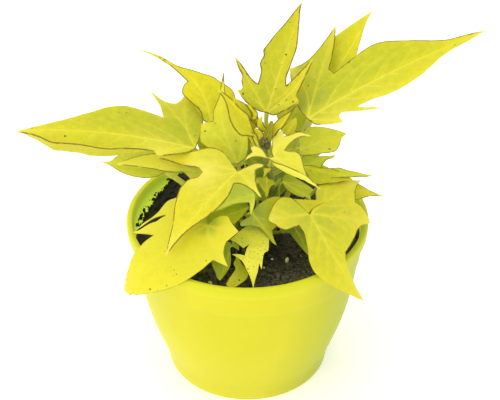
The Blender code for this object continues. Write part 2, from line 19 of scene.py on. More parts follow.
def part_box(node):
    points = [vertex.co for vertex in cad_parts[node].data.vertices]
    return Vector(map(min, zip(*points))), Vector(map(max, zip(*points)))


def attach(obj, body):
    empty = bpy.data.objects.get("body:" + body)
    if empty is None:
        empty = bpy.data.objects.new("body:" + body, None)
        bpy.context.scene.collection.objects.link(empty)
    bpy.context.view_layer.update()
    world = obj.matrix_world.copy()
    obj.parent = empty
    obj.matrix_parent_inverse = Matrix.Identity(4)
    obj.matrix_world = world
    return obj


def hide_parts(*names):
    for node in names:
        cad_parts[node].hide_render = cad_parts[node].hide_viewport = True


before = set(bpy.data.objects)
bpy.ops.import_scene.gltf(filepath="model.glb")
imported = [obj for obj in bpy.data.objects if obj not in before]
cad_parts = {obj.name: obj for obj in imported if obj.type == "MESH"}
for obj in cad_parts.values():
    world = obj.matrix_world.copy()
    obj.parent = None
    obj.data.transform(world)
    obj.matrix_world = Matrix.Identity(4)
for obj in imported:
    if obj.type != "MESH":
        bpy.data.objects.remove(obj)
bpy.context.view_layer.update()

MM = 0.001
scene = bpy.context.scene

# %% [markdown]
# ## Small helpers
# Every piece below ends the same way: its place goes into its mesh, it rides on
# the plant's one body, it stands for a piece of the frame and it takes a finish.
# One function does that, so no piece can miss a step. Another clears the
# selection, because an operator acts on all that is selected. A finish is a
# small graph of shader nodes, and two helpers keep that graph readable: one links
# or sets a node's inputs by name, the other adds a node.

# %% Helpers for every piece
BODY = "root"


def pick_none():
    if bpy.context.object and bpy.context.object.mode != "OBJECT":
        bpy.ops.object.mode_set(mode="OBJECT")
    bpy.ops.object.select_all(action="DESELECT")


def pick(piece):
    pick_none()
    piece.select_set(True)
    bpy.context.view_layer.objects.active = piece


def finish_piece(piece, name, materials, nodes=(), smooth=None):
    """Names a piece, puts its place into its mesh, ties it to the frame and smooths its blunt edges."""
    pick(piece)
    bpy.ops.object.transform_apply(location=True, rotation=True, scale=True)
    piece.name = name
    piece.data.name = name
    if not piece.data.materials:
        for material in materials:
            piece.data.materials.append(material)
    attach(piece, BODY)
    if nodes:
        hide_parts(*nodes)
    if smooth:
        bpy.ops.object.shade_smooth_by_angle(angle=math.radians(smooth))
    return piece


def mesh_piece(name, corners, faces):
    """A new object from faces and their corners in metres."""
    data = bpy.data.meshes.new(name)
    data.from_pydata(corners, [], faces)
    piece = bpy.data.objects.new(name, data)
    scene.collection.objects.link(piece)
    return piece


def apply_modifier(piece, kind, **settings):
    pick(piece)
    modifier = piece.modifiers.new(kind.lower(), kind)
    for key, value in settings.items():
        setattr(modifier, key, value)
    bpy.ops.object.modifier_apply(modifier=modifier.name)


def shader_of(material):
    return material.node_tree.nodes["Principled BSDF"]


def new_material(name):
    material = bpy.data.materials.new(name)
    material.use_nodes = True
    return material


def feed(tree, node, **wires):
    """Links or sets inputs of a node: a socket is linked, anything else is set."""
    for label, value in wires.items():
        name = label.replace("_", " ")
        if isinstance(value, bpy.types.NodeSocket):
            tree.links.new(value, node.inputs[name])
        else:
            node.inputs[name].default_value = value
    return node


def add_node(tree, kind, **given):
    """A new node: names that start with a capital are its inputs, the others are its settings."""
    node = tree.nodes.new("ShaderNode" + kind)
    for key in [key for key in given if key[0].islower()]:
        setattr(node, key, given.pop(key))
    return feed(tree, node, **given)


print("helpers ready")

# %% [markdown]
# ## Camera
# The camera stands 70 cm away and looks down on the plant, as a person at a
# table does. A long lens keeps the leaves near the camera from looking larger
# than those behind. It is aimed with a direction vector turned into a rotation,
# which is easier to read than three angles.

# %% Place the camera
AIM = Vector((1.33, 0, 103.4)) * MM
CAMERA_DISTANCE = 700 * MM
CAMERA_ELEVATION = math.radians(35.35)
LENS = 94.46             # on the usual 36 mm wide sensor

back_off = Vector((0, -math.cos(CAMERA_ELEVATION), math.sin(CAMERA_ELEVATION)))
bpy.ops.object.select_all(action="DESELECT")
bpy.ops.object.camera_add(location=AIM + back_off * CAMERA_DISTANCE)
camera = bpy.context.object
camera.name = "camera"
camera.rotation_euler = (-back_off).to_track_quat("-Z", "Y").to_euler()
camera.data.lens = LENS
camera.data.clip_start = 10 * MM
scene.camera = camera
print("camera at", [round(x / MM) for x in camera.location], "mm")

# %% [markdown]
# ## Floor and light
# The pot stands on a plain pale floor, so wide that no view shows its edge. The
# light is a big soft key lamp from the front left, a weaker one high on the
# right, one behind, and a white sky that is brighter on the left. So the shadows
# stay open and the yellow leaves glow, but the right side is a little darker.
# Area lamps are used because their size decides how soft a shadow is: a lamp as
# large as its distance gives almost none.

# %% Build the stage
FLOOR_SIZE = 60.0
FLOOR_WHITE = (0.93, 0.93, 0.92, 1)
FLOOR_GLOW = 0.30
WHITE = (1, 1, 1, 1)
SKY_LEFT, SKY_RIGHT = 0.98, 0.64   # how bright the sky is on each side
LAMPS = {                # name: place in metres, width, power in watts, colour
    "key_lamp": ((-0.75, -0.60, 0.95), 1.1, 3.3, (1.0, 0.96, 0.88)),
    "fill_lamp": ((0.35, -0.55, 1.05), 0.9, 1.7, (1.0, 0.98, 0.90)),
    "back_lamp": ((-0.35, 0.80, 0.90), 1.0, 2.4, (1.0, 1.0, 0.97)),
}


def lay_floor():
    pick_none()
    bpy.ops.mesh.primitive_plane_add(size=FLOOR_SIZE)
    floor = bpy.context.object
    floor.name = "floor"
    paper = new_material("pale_floor")
    feed(paper.node_tree, shader_of(paper), Base_Color=FLOOR_WHITE, Roughness=0.9, Emission_Color=WHITE,
         Emission_Strength=FLOOR_GLOW)
    floor.data.materials.append(paper)


def hang_lamps():
    for name, (place, width, power, colour) in LAMPS.items():
        bpy.ops.object.light_add(type="AREA", location=place)
        lamp = bpy.context.object
        lamp.name = name
        lamp.data.size = width
        lamp.data.energy = power
        lamp.data.color = colour
        lamp.rotation_euler = (AIM - Vector(place)).to_track_quat("-Z", "Y").to_euler()


def light_sky():
    sky = bpy.data.worlds.new("pale_sky")
    sky.use_nodes = True
    tree = sky.node_tree
    way = add_node(tree, "SeparateXYZ", Vector=add_node(tree, "TexCoord").outputs["Generated"])
    fade = add_node(tree, "MapRange", Value=way.outputs["X"], From_Min=-1.0, From_Max=1.0,
                    To_Min=SKY_LEFT, To_Max=SKY_RIGHT)
    feed(tree, tree.nodes["Background"], Color=WHITE, Strength=fade.outputs["Result"])
    scene.world = sky
    scene.view_settings.view_transform = "Standard"


lay_floor()
hang_lamps()
light_sky()
print("stage: floor and", len(LAMPS), "lamps")

# %% [markdown]
# ## Shader groups that several finishes share
# Nothing in nature or in a moulding shop has one flat colour. Two groups give
# that to every finish below. "cloudy_tone" makes soft light and dark clouds and
# moves a colour between two others with them. "fine_grain" makes a small bump,
# so that light breaks up on the surface. A group is built once and then placed
# in each material with its own sizes. Both read Object coordinates, which stay
# with the piece when the camera moves.

# %% Build the shared shader groups


def new_group(name, inputs, outputs):
    """An empty shader group with named sockets: (name, type, starting value)."""
    group = bpy.data.node_groups.new(name, "ShaderNodeTree")
    for label, kind, value in inputs:
        socket = group.interface.new_socket(label, in_out="INPUT", socket_type="NodeSocket" + kind)
        if value is not None:
            socket.default_value = value
    for label, kind in outputs:
        group.interface.new_socket(label, in_out="OUTPUT", socket_type="NodeSocket" + kind)
    enter = group.nodes.new("NodeGroupInput")
    leave = group.nodes.new("NodeGroupOutput")
    return group, enter.outputs, leave.inputs


def maths(tree, operation, a, b=0.0, clamp=False):
    node = add_node(tree, "Math", operation=operation, use_clamp=clamp)
    for socket, value in zip(node.inputs, (a, b)):
        if isinstance(value, bpy.types.NodeSocket):
            tree.links.new(value, socket)
        else:
            socket.default_value = value
    return node.outputs[0]


def plus(tree, a, b, clamp=False):
    return maths(tree, "ADD", a, b, clamp)


def times(tree, a, b):
    return maths(tree, "MULTIPLY", a, b)


def flipped(tree, mask):
    """0 where a mask is 1, and 1 where it is 0."""
    return maths(tree, "SUBTRACT", 1.0, mask)


def mixed(tree, share, a, b):
    """One colour moved towards another."""
    node = add_node(tree, "Mix", data_type="RGBA")
    for socket, value in ((node.inputs[0], share), (node.inputs[6], a), (node.inputs[7], b)):
        if isinstance(value, bpy.types.NodeSocket):
            tree.links.new(value, socket)
        elif isinstance(value, (int, float)):
            socket.default_value = value
        else:
            socket.default_value = (*value, 1)
    return node.outputs[2]


def ramped(tree, value, low, high):
    """0 below low and 1 above high, with a straight slope between them."""
    node = add_node(tree, "MapRange")
    feed(tree, node, Value=value, From_Min=low, From_Max=high)
    return node.outputs["Result"]


def build_cloudy_tone():
    group, given, wanted = new_group(
        "cloudy_tone",
        [("Dark", "Color", (0, 0, 0, 1)), ("Light", "Color", (1, 1, 1, 1)), ("Scale", "Float", 50.0),
         ("Contrast", "Float", 1.0)],
        [("Color", "Color"), ("Mask", "Float")])
    place = add_node(group, "TexCoord")
    cloud = add_node(group, "TexNoise", Vector=place.outputs["Object"], Scale=given["Scale"],
                     Detail=4.0, Roughness=0.55)
    centred = maths(group, "SUBTRACT", cloud.outputs["Fac"], 0.5)
    mask = plus(group, times(group, centred, given["Contrast"]), 0.5, clamp=True)
    group.links.new(mixed(group, mask, given["Dark"], given["Light"]), wanted["Color"])
    group.links.new(mask, wanted["Mask"])
    return group


def build_fine_grain():
    group, given, wanted = new_group(
        "fine_grain",
        [("Scale", "Float", 2000.0), ("Depth", "Float", 0.0001), ("Strength", "Float", 0.3)],
        [("Normal", "Vector")])
    place = add_node(group, "TexCoord")
    grain = add_node(group, "TexNoise", Vector=place.outputs["Object"], Scale=given["Scale"],
                     Detail=2.0, Roughness=0.6)
    bump = add_node(group, "Bump", Height=grain.outputs["Fac"], Distance=given["Depth"],
                    Strength=given["Strength"])
    group.links.new(bump.outputs["Normal"], wanted["Normal"])
    return group


CLOUDY_TONE = build_cloudy_tone()
FINE_GRAIN = build_fine_grain()


def place_group(tree, group, **wires):
    node = tree.nodes.new("ShaderNodeGroup")
    node.node_tree = group
    return feed(tree, node, **wires)


def cloudy(tree, scale, contrast, dark=(0, 0, 0), light=(1, 1, 1)):
    """A cloud on the piece: its mask, and two colours mixed by that mask."""
    return place_group(tree, CLOUDY_TONE, Scale=scale, Contrast=contrast, Dark=(*dark, 1), Light=(*light, 1))


print("shader groups:", CLOUDY_TONE.name, "and", FINE_GRAIN.name)

# %% [markdown]
# ## The pot's plastic
# The pot is injection moulded in lime plastic with a satin skin. Such plastic is
# coloured right through, so its tone hardly varies: a slight cloudiness from the
# melt, faint rings left by the turned mould, and fine grain that keeps the gloss
# soft. The right side, away from the key lamp, is painted greener and darker, more
# so lower down: that is painted shade. The lip and the inside are painted greener,
# and the inside is given a faint glow: painted light, for daylight that comes
# through the thin wall. A little dust has gathered just above the floor. Each of
# these is one mask, worked out from the place on the pot, and one mixed colour.

# %% Make the lime plastic
LIME_LIGHT = (0.81, 0.715, 0.022)
LIME_DEEP = (0.70, 0.67, 0.013)
LIME_PAINTED_SHADE = (0.42, 0.50, 0.010)   # painted shade: the right side, away from the key lamp
# painted light and shade: the inside wall is painted greener than the plastic itself
INSIDE_PAINTED_TINT = (0.38, 0.60, 0.05)
LIP_PAINTED_LIGHT = (0.60, 0.68, 0.010)     # painted light: the lip is painted greener where light comes through it
PAINTED_GLOW_THROUGH_WALL = (0.66, 0.86, 0.08)   # painted glow: daylight that has come through the thin wall
DUST = (0.55, 0.55, 0.30)
LIP_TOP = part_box("pot")[1].z / MM
SHADE_START, SHADE_FULL = 27, 60    # mm to the right of the axis, at the height of SHADE_LEVEL
SHADE_LEVEL = 85
SHADE_LEAN = 0.26                   # mm that the shaded side gains for each mm further down
LIP_GREEN_START, LIP_GREEN_FULL = 6, 2     # mm below the top
GLOW_START, GLOW_FULL = 3, 16              # mm below the top
DUST_HEIGHT = 14
RING_SHARE, DUST_SHARE = 0.05, 0.18        # how strongly each colour is laid over the plastic's own
# shares of the painted shade on the right, the painted inside tint and the painted lip light
PAINTED_SHADE_SHARE, INSIDE_SHARE, LIP_SHARE = 0.74, 0.6, 0.45


def make_lime_plastic():
    plastic = new_material("lime_plastic")
    tree, shader = plastic.node_tree, shader_of(plastic)
    place = add_node(tree, "TexCoord").outputs["Object"]
    split = add_node(tree, "SeparateXYZ", Vector=place)
    right, height = split.outputs["X"], split.outputs["Z"]

    tone = cloudy(tree, 22.0, 1.2, LIME_DEEP, LIME_LIGHT)
    rings = add_node(tree, "TexWave", wave_type="BANDS", bands_direction="Z", Vector=place,
                     Scale=260.0, Distortion=0.4, Detail=2.0)
    base = mixed(tree, times(tree, rings.outputs["Fac"], RING_SHARE), tone.outputs["Color"], LIME_DEEP)

    # painted shade: the right side, more of it lower down, is painted greener and darker
    lean = times(tree, maths(tree, "SUBTRACT", SHADE_LEVEL * MM, height), SHADE_LEAN)
    painted_right_shade = ramped(tree, plus(tree, right, lean), SHADE_START * MM, SHADE_FULL * MM)
    base = mixed(tree, times(tree, painted_right_shade, PAINTED_SHADE_SHARE), base, LIME_PAINTED_SHADE)

    # painted light and shade: the inside wall is painted greener and given a faint glow, more of it deeper
    # down
    outward = add_node(tree, "VectorMath", operation="DOT_PRODUCT")
    tree.links.new(add_node(tree, "NewGeometry").outputs["Normal"], outward.inputs[0])
    tree.links.new(place, outward.inputs[1])
    inside = flipped(tree, ramped(tree, outward.outputs["Value"], -20 * MM, 0.0))
    base = mixed(tree, times(tree, inside, INSIDE_SHARE), base, INSIDE_PAINTED_TINT)
    lip = ramped(tree, height, (LIP_TOP - LIP_GREEN_START) * MM, (LIP_TOP - LIP_GREEN_FULL) * MM)
    base = mixed(tree, times(tree, lip, LIP_SHARE), base, LIP_PAINTED_LIGHT)
    deep = ramped(tree, height, (LIP_TOP - GLOW_START) * MM, (LIP_TOP - GLOW_FULL) * MM)
    painted_wall_glow = times(tree, inside, plus(tree, times(tree, deep, 0.66), 0.18))

    low = flipped(tree, ramped(tree, height, 0.0, DUST_HEIGHT * MM))
    dust = times(tree, low, cloudy(tree, 90.0, 3.0).outputs["Mask"])
    base = mixed(tree, times(tree, dust, DUST_SHARE), base, DUST)

    grain = place_group(tree, FINE_GRAIN, Scale=1500.0, Depth=0.05 * MM, Strength=0.18)
    rough = plus(tree, times(tree, tone.outputs["Mask"], 0.10), 0.40)
    feed(tree, shader, Base_Color=base, Roughness=rough, Normal=grain.outputs["Normal"])
    feed(tree, shader, Subsurface_Weight=0.45, Subsurface_Scale=0.006, Subsurface_Radius=(1.0, 0.9, 0.15),
         Specular_IOR_Level=0.23, Emission_Color=(*PAINTED_GLOW_THROUGH_WALL, 1), Emission_Strength=painted_wall_glow)
    return plastic


lime_plastic = make_lime_plastic()
print("material:", lime_plastic.name)

# %% [markdown]
# ## The pot
# A moulded pot is a turned shape, so a circle is drawn out ring by ring, as on a
# potter's wheel: up the outer wall, over the rolled lip and down the inside. The
# spin tool would do the same from a profile. Drawing rings keeps the number of
# sides in one place and closes the two poles cleanly. The frame gives the height
# and the lip's radius, and the profile below follows them.

# %% Turn the pot
POT_SIDES = 160
LIP_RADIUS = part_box("pot")[1].x / MM
WALL = 1.5
LIP_WIDTH = 3.2
BAND_FOOT = LIP_TOP - 20
BAND_INSIDE = 58.8       # inner radius at the band's foot
FOOT_RADIUS = 45
FOOT_RING_WIDTH = 9
FLOOR_LEVEL = 4.5        # of the raised floor, inside
BODY_PROFILE = [         # radius and height from the foot to the band
    (45.6, 5.6), (45.9, 6.3), (46.0, 7.2), (46.4, 9.5), (47.1, 12), (48.0, 14.5), (49.0, 17.3), (49.9, 20),
    (51.6, 25), (53.2, 30), (54.5, 34.5), (55.6, 39), (56.6, 43.5), (57.5, 48), (58.5, 54.5), (59.4, 61),
    (60.2, 67.5)]
WALL_HEIGHTS = (92, 90, 87, 83, 79, 74.5, 73, 61, 48, 39, 30, 20, 12, 8)   # of the rings down the inside
DRAIN_HOLES = 6
DRAIN_HOLE_RADIUS = 2.7
DRAIN_HOLE_CIRCLE = 24


def arc(centre, radius, start, stop, steps):
    """Points of a round stretch, from one angle to another in degrees."""
    turns = [math.radians(start + (stop - start) * i / steps) for i in range(steps + 1)]
    return [(centre[0] + radius * math.cos(a), centre[1] + radius * math.sin(a)) for a in turns]


def inner_radius(height):
    """Radius of the inner wall at a height in mm."""
    if height > BAND_FOOT:
        share = (height - BAND_FOOT) / (LIP_TOP - BAND_FOOT)
        return BAND_INSIDE + (LIP_RADIUS - LIP_WIDTH - BAND_INSIDE) * share
    outside = [(FOOT_RADIUS, 0), *BODY_PROFILE, (61.0, BAND_FOOT)]
    return float(np.interp(height, [z for _, z in outside], [r for r, _ in outside])) - WALL


def pot_profile():
    """Radius and height of each ring, from the middle of the base round to the middle of the floor."""
    ring_inside = FOOT_RADIUS - FOOT_RING_WIDTH
    base = [(8, 0), (13.4, 0), (14, 0.2), (15.5, 3), (22, 3), (28, 3), (ring_inside - 1.5, 3)]
    base += [(ring_inside - 0.2, 0.25), (ring_inside + 0.4, 0)]
    foot = [(FOOT_RADIUS - 1.0, 0)] + arc((FOOT_RADIUS - 1.0, 1.0), 1.0, -60, 0, 3)
    band = [(60.75, BAND_FOOT - 1.0), (60.85, BAND_FOOT - 0.6), (61.25, BAND_FOOT - 0.35), (61.5, BAND_FOOT),
            (61.6, BAND_FOOT + 0.6), (62.1, BAND_FOOT + 6), (62.6, LIP_TOP - 7.6), (62.7, LIP_TOP - 7.1),
            (63.0, LIP_TOP - 6.8), (63.6, LIP_TOP - 6.7)]
    lip = arc((63.7, LIP_TOP - 5.6), 1.1, -70, 0, 4)
    lip += [(64.9, LIP_TOP - 3.5)] + arc((LIP_RADIUS - 1.3, LIP_TOP - 1.3), 1.3, 0, 90, 5)
    lip += [(LIP_RADIUS - 2.1, LIP_TOP - 0.1)]
    lip += arc((LIP_RADIUS - 2.5, LIP_TOP - 0.75), 0.65, 90, 180, 4)
    inside = [(inner_radius(z), z) for z in WALL_HEIGHTS]
    corner = arc((FOOT_RADIUS - WALL - 2.5, FLOOR_LEVEL + 2.5), 2.5, 0, -90, 4)
    return base + foot + BODY_PROFILE + band + lip + inside + corner + [(28, FLOOR_LEVEL), (8, FLOOR_LEVEL)]


def extrude_rings(rings, sides):
    """Draws a circle out through rings, each a centre and a radius in mm, and closes both ends."""
    pick_none()
    (centre, radius), rest = rings[0], rings[1:]
    bpy.ops.mesh.primitive_circle_add(
        vertices=sides, radius=radius * MM, location=centre * MM, fill_type="TRIFAN")
    drawn = bpy.context.object
    bpy.ops.object.mode_set(mode="EDIT")
    bpy.ops.mesh.select_mode(type="EDGE")
    bpy.ops.mesh.select_all(action="SELECT")
    bpy.ops.mesh.region_to_loop()
    for next_centre, next_radius in rest:
        bpy.ops.mesh.extrude_region_move(TRANSFORM_OT_translate={"value": (next_centre - centre) * MM})
        grow = next_radius / radius
        bpy.ops.transform.resize(value=(grow, grow, 1), center_override=next_centre * MM)
        centre, radius = next_centre, next_radius
    bpy.ops.mesh.edge_face_add()
    bpy.ops.mesh.select_all(action="SELECT")
    bpy.ops.mesh.normals_make_consistent(inside=False)
    bpy.ops.object.mode_set(mode="OBJECT")
    bpy.ops.object.transform_apply(location=True, rotation=False, scale=False)
    return drawn


def turn(profile, sides):
    """A turned shape from a profile of radii and heights in mm."""
    return extrude_rings([(Vector((0, 0, height)), radius) for radius, height in profile], sides)


def drill_drain_holes(pot):
    """Round holes through the raised floor, cut with cylinders that are then thrown away."""
    for i in range(DRAIN_HOLES):
        angle = math.tau * i / DRAIN_HOLES
        place = Vector((DRAIN_HOLE_CIRCLE * math.cos(angle), DRAIN_HOLE_CIRCLE * math.sin(angle), 3))
        pick_none()
        bpy.ops.mesh.primitive_cylinder_add(
            vertices=24, radius=DRAIN_HOLE_RADIUS * MM, depth=14 * MM, location=place * MM)
        drill = bpy.context.object
        apply_modifier(pot, "BOOLEAN", operation="DIFFERENCE", solver="EXACT", object=drill)
        bpy.data.objects.remove(drill, do_unlink=True)


pot = turn(pot_profile(), POT_SIDES)
drill_drain_holes(pot)
finish_piece(pot, "turned_pot", [lime_plastic], ["pot"], smooth=35)
print("pot:", len(pot_profile()), "rings,", len(pot.data.polygons), "faces")

# %% [markdown]
# ## The compost's colour
# Moist peat compost is almost black, with browner crumbs where it has dried and
# a few pale specks. Damp patches darken it at random. On top of that, painted
# shade darkens it under the leaves and on the left, and leaves the bare front
# right lighter. Its gloss is broken: wet faces glint, dry ones don't. The colour
# comes from two sizes of noise and from scattered cells, and the bump from one
# more noise, which is finer than the rest.

# %% Make the compost's finishes
PEAT_WET = (0.012, 0.011, 0.007)
PEAT_DRY = (0.25, 0.225, 0.12)
PEAT_SPECK = (0.42, 0.34, 0.20)
SHADE_FREE_Y, SHADE_FULL_Y = -38, -16       # mm: no painted shade in front of the first, full painted shade of the leaves behind the second
LEFT_SHADE_FREE_X, LEFT_SHADE_FULL_X = 24, 8           # mm: no painted shade on the right of the first, full painted shade on the left of the second
PATCHY_DAMP, PAINTED_LEAF_SHADE, PAINTED_LEFT_SHADE = 0.55, 0.42, 0.26    # how much the random damp patches, the painted leaf shade and the painted left shade darken
SPECKED_CELLS = 0.985              # a cell whose random number is above this has a pale speck


def make_compost():
    compost = new_material("peat_compost")
    tree, shader = compost.node_tree, shader_of(compost)
    tone = cloudy(tree, 620.0, 3.2, PEAT_WET, PEAT_DRY)
    wide = cloudy(tree, 45.0, 2.0)
    place = add_node(tree, "TexCoord").outputs["Object"]
    where = add_node(tree, "SeparateXYZ", Vector=place)
    # painted shade under the leaves and on the left, laid on with the random damp patches
    under_leaves_shade = times(tree, ramped(tree, where.outputs["Y"], SHADE_FREE_Y * MM, SHADE_FULL_Y * MM), PAINTED_LEAF_SHADE)
    left_side_shade = times(tree, ramped(tree, where.outputs["X"], LEFT_SHADE_FREE_X * MM, LEFT_SHADE_FULL_X * MM), PAINTED_LEFT_SHADE)
    patchy = times(tree, wide.outputs["Mask"], PATCHY_DAMP)
    damp_and_shade = plus(tree, patchy, plus(tree, under_leaves_shade, left_side_shade), clamp=True)
    cells = add_node(tree, "TexVoronoi", Vector=place, Scale=420.0)
    split = add_node(tree, "SeparateXYZ", Vector=cells.outputs["Color"])
    pale_cell = maths(tree, "GREATER_THAN", split.outputs["X"], SPECKED_CELLS)
    near = maths(tree, "LESS_THAN", cells.outputs["Distance"], 0.35)
    speck = times(tree, times(tree, pale_cell, near), 0.7)
    base = mixed(tree, speck, mixed(tree, damp_and_shade, tone.outputs["Color"], PEAT_WET), PEAT_SPECK)
    grain = place_group(tree, FINE_GRAIN, Scale=1400.0, Depth=0.4 * MM, Strength=0.8)
    rough = plus(tree, times(tree, tone.outputs["Mask"], 0.25), 0.68)
    feed(tree, shader, Base_Color=base, Roughness=rough, Normal=grain.outputs["Normal"])
    return compost


def make_plain_grain(name, dark, light, scale, roughness):
    """A finish for small bits: two tones and a fine grain."""
    bits = new_material(name)
    tree, shader = bits.node_tree, shader_of(bits)
    tone = cloudy(tree, scale, 2.2, dark, light)
    grain = place_group(tree, FINE_GRAIN, Scale=3000.0, Depth=0.15 * MM, Strength=0.6)
    rough = plus(tree, times(tree, tone.outputs["Mask"], 0.1), roughness)
    feed(tree, shader, Base_Color=tone.outputs["Color"], Roughness=rough, Normal=grain.outputs["Normal"])
    return bits


compost = make_compost()
fibre_brown = make_plain_grain("dry_fibre", (0.06, 0.048, 0.025), (0.17, 0.14, 0.075), 200.0, 0.75)
pale_grit = make_plain_grain("pale_grit", (0.66, 0.62, 0.30), (1.0, 0.96, 0.66), 500.0, 0.8)
print("materials:", compost.name, fibre_brown.name, pale_grit.name)

# %% [markdown]
# ## The body of compost
# The compost fills the pot as one lump with a rough top, almost level in the
# middle and heaped against the wall at the back and on the right, as potting
# leaves it. The same ring-by-ring way that turned the pot makes the lump, with
# close rings across the top. Three Displace modifiers then push the top up and
# down: broad mounds, clods and crumbs, each with its own noise size. A vertex
# group keeps the sides still, so the lump never bursts through the wall.

# %% Model the compost
SOIL_SIDES = 240
SOIL_LEVEL = 79          # against the wall, where nothing is heaped
SOIL_MOUND = 2           # how much higher the middle is
SOIL_SLACK = 0.5         # between the soil and the wall
TOP_STEP = 1.25          # between two rings across the top
TOP_START = SOIL_LEVEL - 0.5       # every point above this belongs to the top
BANK_START = 30          # distance from the middle at which the heap begins
BANK_DIRECTIONS = [0, 20, 40, 60, 95, 120, 134, 142, 152, 162, 175, 190, 205, 320, 345, 360]
BANK_HEIGHTS = [6, 8, 6, 4, 6, 9.5, 9.5, 5.4, 2.8, 0.6, 1.5, 1.5, 0, 0, 4, 6]
ROUGHNESS = {"mounds": (22, 3.0), "clods": (5, 2.2), "crumbs": (1.6, 1.5)}   # size and height of each noise


def soil_profile():
    foot = FOOT_RADIUS - WALL
    under = [(8, FLOOR_LEVEL + 0.3), (28, FLOOR_LEVEL + 0.3), (foot - 2.3, FLOOR_LEVEL + 0.3)]
    side = [(inner_radius(z) - SOIL_SLACK, z) for z in (12, 20, 30, 39, 48, 61, 73, SOIL_LEVEL - 1)]
    edge = inner_radius(SOIL_LEVEL) - SOIL_SLACK
    steps = round(edge / TOP_STEP)
    shares = [i / steps for i in range(steps, 0, -1)]
    top = [(edge * s, SOIL_LEVEL + SOIL_MOUND * (1 - s * s)) for s in shares]
    return under + [(foot - 0.6, FLOOR_LEVEL + 2.1)] + side + top


def roughen(piece, group, name, size, height):
    """Pushes a vertex group up and down with one size of noise, in mm."""
    texture = bpy.data.textures.new(name, "CLOUDS")
    texture.noise_scale = size * MM
    texture.noise_depth = 2
    apply_modifier(piece, "DISPLACE", texture=texture, vertex_group=group, direction="Z", mid_level=0.5,
                   texture_coords="LOCAL", strength=height * MM)


def bank_height(angle):
    """How far the compost is heaped against the wall, in mm, for a direction seen from above."""
    return float(np.interp(math.degrees(angle) % 360, BANK_DIRECTIONS, BANK_HEIGHTS))


def heap_bank(piece):
    """Lifts the rim of the compost and widens it as the wall does."""
    rim = inner_radius(SOIL_LEVEL)
    for corner in piece.data.vertices:
        if corner.co.z > TOP_START * MM:
            out = Vector(corner.co.xy).length / MM
            share = min(1.0, max(0.0, (out - BANK_START) / (rim - 1 - BANK_START)))
            share = share * share * (3 - 2 * share)
            lift = bank_height(math.atan2(corner.co.y, corner.co.x)) * share
            grow = 1 + (inner_radius(SOIL_LEVEL + lift) / rim - 1) * share
            corner.co = (corner.co.x * grow, corner.co.y * grow, corner.co.z + lift * MM)


soil = turn(soil_profile(), SOIL_SIDES)
heap_bank(soil)
top_group = soil.vertex_groups.new(name="top")
for corner in soil.data.vertices:
    if corner.co.z > TOP_START * MM:
        edge_share = 1 - Vector(corner.co.xy).length / ((inner_radius(SOIL_LEVEL) - SOIL_SLACK) * MM)
        top_group.add([corner.index], min(1.0, 0.35 + edge_share * 8), "REPLACE")
for noise_name, (size, height) in ROUGHNESS.items():
    roughen(soil, "top", noise_name, size, height)
finish_piece(soil, "compost", [compost], ["soil"], smooth=50)
print("compost:", len(soil.data.polygons), "faces")

# %% [markdown]
# ## Loose crumbs
# What makes compost look like compost is its loose crumbs. A few lumpy shapes are
# modelled from an ico sphere, roughened with a Displace modifier, and then copied
# by the thousand at other sizes and turns. Most rest on the surface that a ray
# finds below them. Watering has thrown others against the wall, above the
# compost, so a ragged dark edge climbs the bare plastic on one side.

# %% Scatter the crumbs
dice = random.Random(7)
FINE_CRUMBS, COARSE_CRUMBS, WALL_CRUMBS = 2600, 420, 1700
CRUMB_REACH = 56.5       # how far from the middle a crumb may lie
LUMP_SPACING = 7.3       # between the balls while they are made, so that each meets other noise
WALL_CRUMBS_SIDE = math.radians(158)    # the direction, seen from above, in which they climb highest


def lump_shapes(count, subdivisions, lumpiness):
    """A few lumpy balls of radius 1, as (corners, faces)."""
    shapes = []
    for i in range(count):
        pick_none()
        place = (i * LUMP_SPACING, 0, 0)
        bpy.ops.mesh.primitive_ico_sphere_add(subdivisions=subdivisions, radius=1, location=place)
        bpy.ops.object.transform_apply(location=True, rotation=False, scale=False)
        ball = bpy.context.object
        texture = bpy.data.textures.new("lump", "CLOUDS")
        texture.noise_scale = 0.9
        apply_modifier(ball, "DISPLACE", texture=texture, strength=lumpiness, texture_coords="LOCAL")
        corners = np.array([v.co for v in ball.data.vertices]) - place
        shapes.append((corners, [tuple(f.vertices) for f in ball.data.polygons]))
        bpy.data.objects.remove(ball, do_unlink=True)
    return shapes


def random_way():
    return Vector((dice.gauss(0, 1), dice.gauss(0, 1), dice.gauss(0, 1))).normalized()


def random_turn():
    """A rotation matrix for any turn."""
    x, y, z = random_way()
    angle = dice.uniform(0, math.tau)
    skew = np.array([[0, -z, y], [z, 0, -x], [-y, x, 0]])
    return np.eye(3) + math.sin(angle) * skew + (1 - math.cos(angle)) * skew @ skew


def join_shapes(name, shapes, material, smooth=None):
    """One piece of many loose shapes, each given as its corners in mm and its faces."""
    corners, faces = [], []
    for points, sides in shapes:
        faces.extend([tuple(len(corners) + k for k in side) for side in sides])
        corners.extend([tuple(c * MM for c in point) for point in points])
    return finish_piece(mesh_piece(name, corners, faces), name, [material], smooth=smooth)


def scatter(name, shapes, places, material):
    """One piece of many lumps. A place is a point in mm and a radius in mm."""
    lumps = []
    for place, radius in places:
        points, sides = dice.choice(shapes)
        stretch = np.array([dice.uniform(0.7, 1.25), dice.uniform(0.7, 1.25), dice.uniform(0.55, 0.95)])
        lumps.append(((points * stretch * radius) @ random_turn().T + np.array(place), sides))
    return join_shapes(name, lumps, material, smooth=45)


def soil_height(x, y):
    """Height in mm of the compost at a point."""
    hit, place, _, _ = soil.ray_cast(Vector((x, y, 120)) * MM, Vector((0, 0, -1)))
    return place.z / MM if hit else SOIL_LEVEL


def crumb_places(count, low, high):
    places = []
    for _ in range(count):
        angle, reach = dice.uniform(0, math.tau), CRUMB_REACH * math.sqrt(dice.random())
        x, y = reach * math.cos(angle), reach * math.sin(angle)
        radius = low + (high - low) * dice.random() ** 2.2
        places.append(((x, y, soil_height(x, y) + radius * 0.25), radius))
    return places


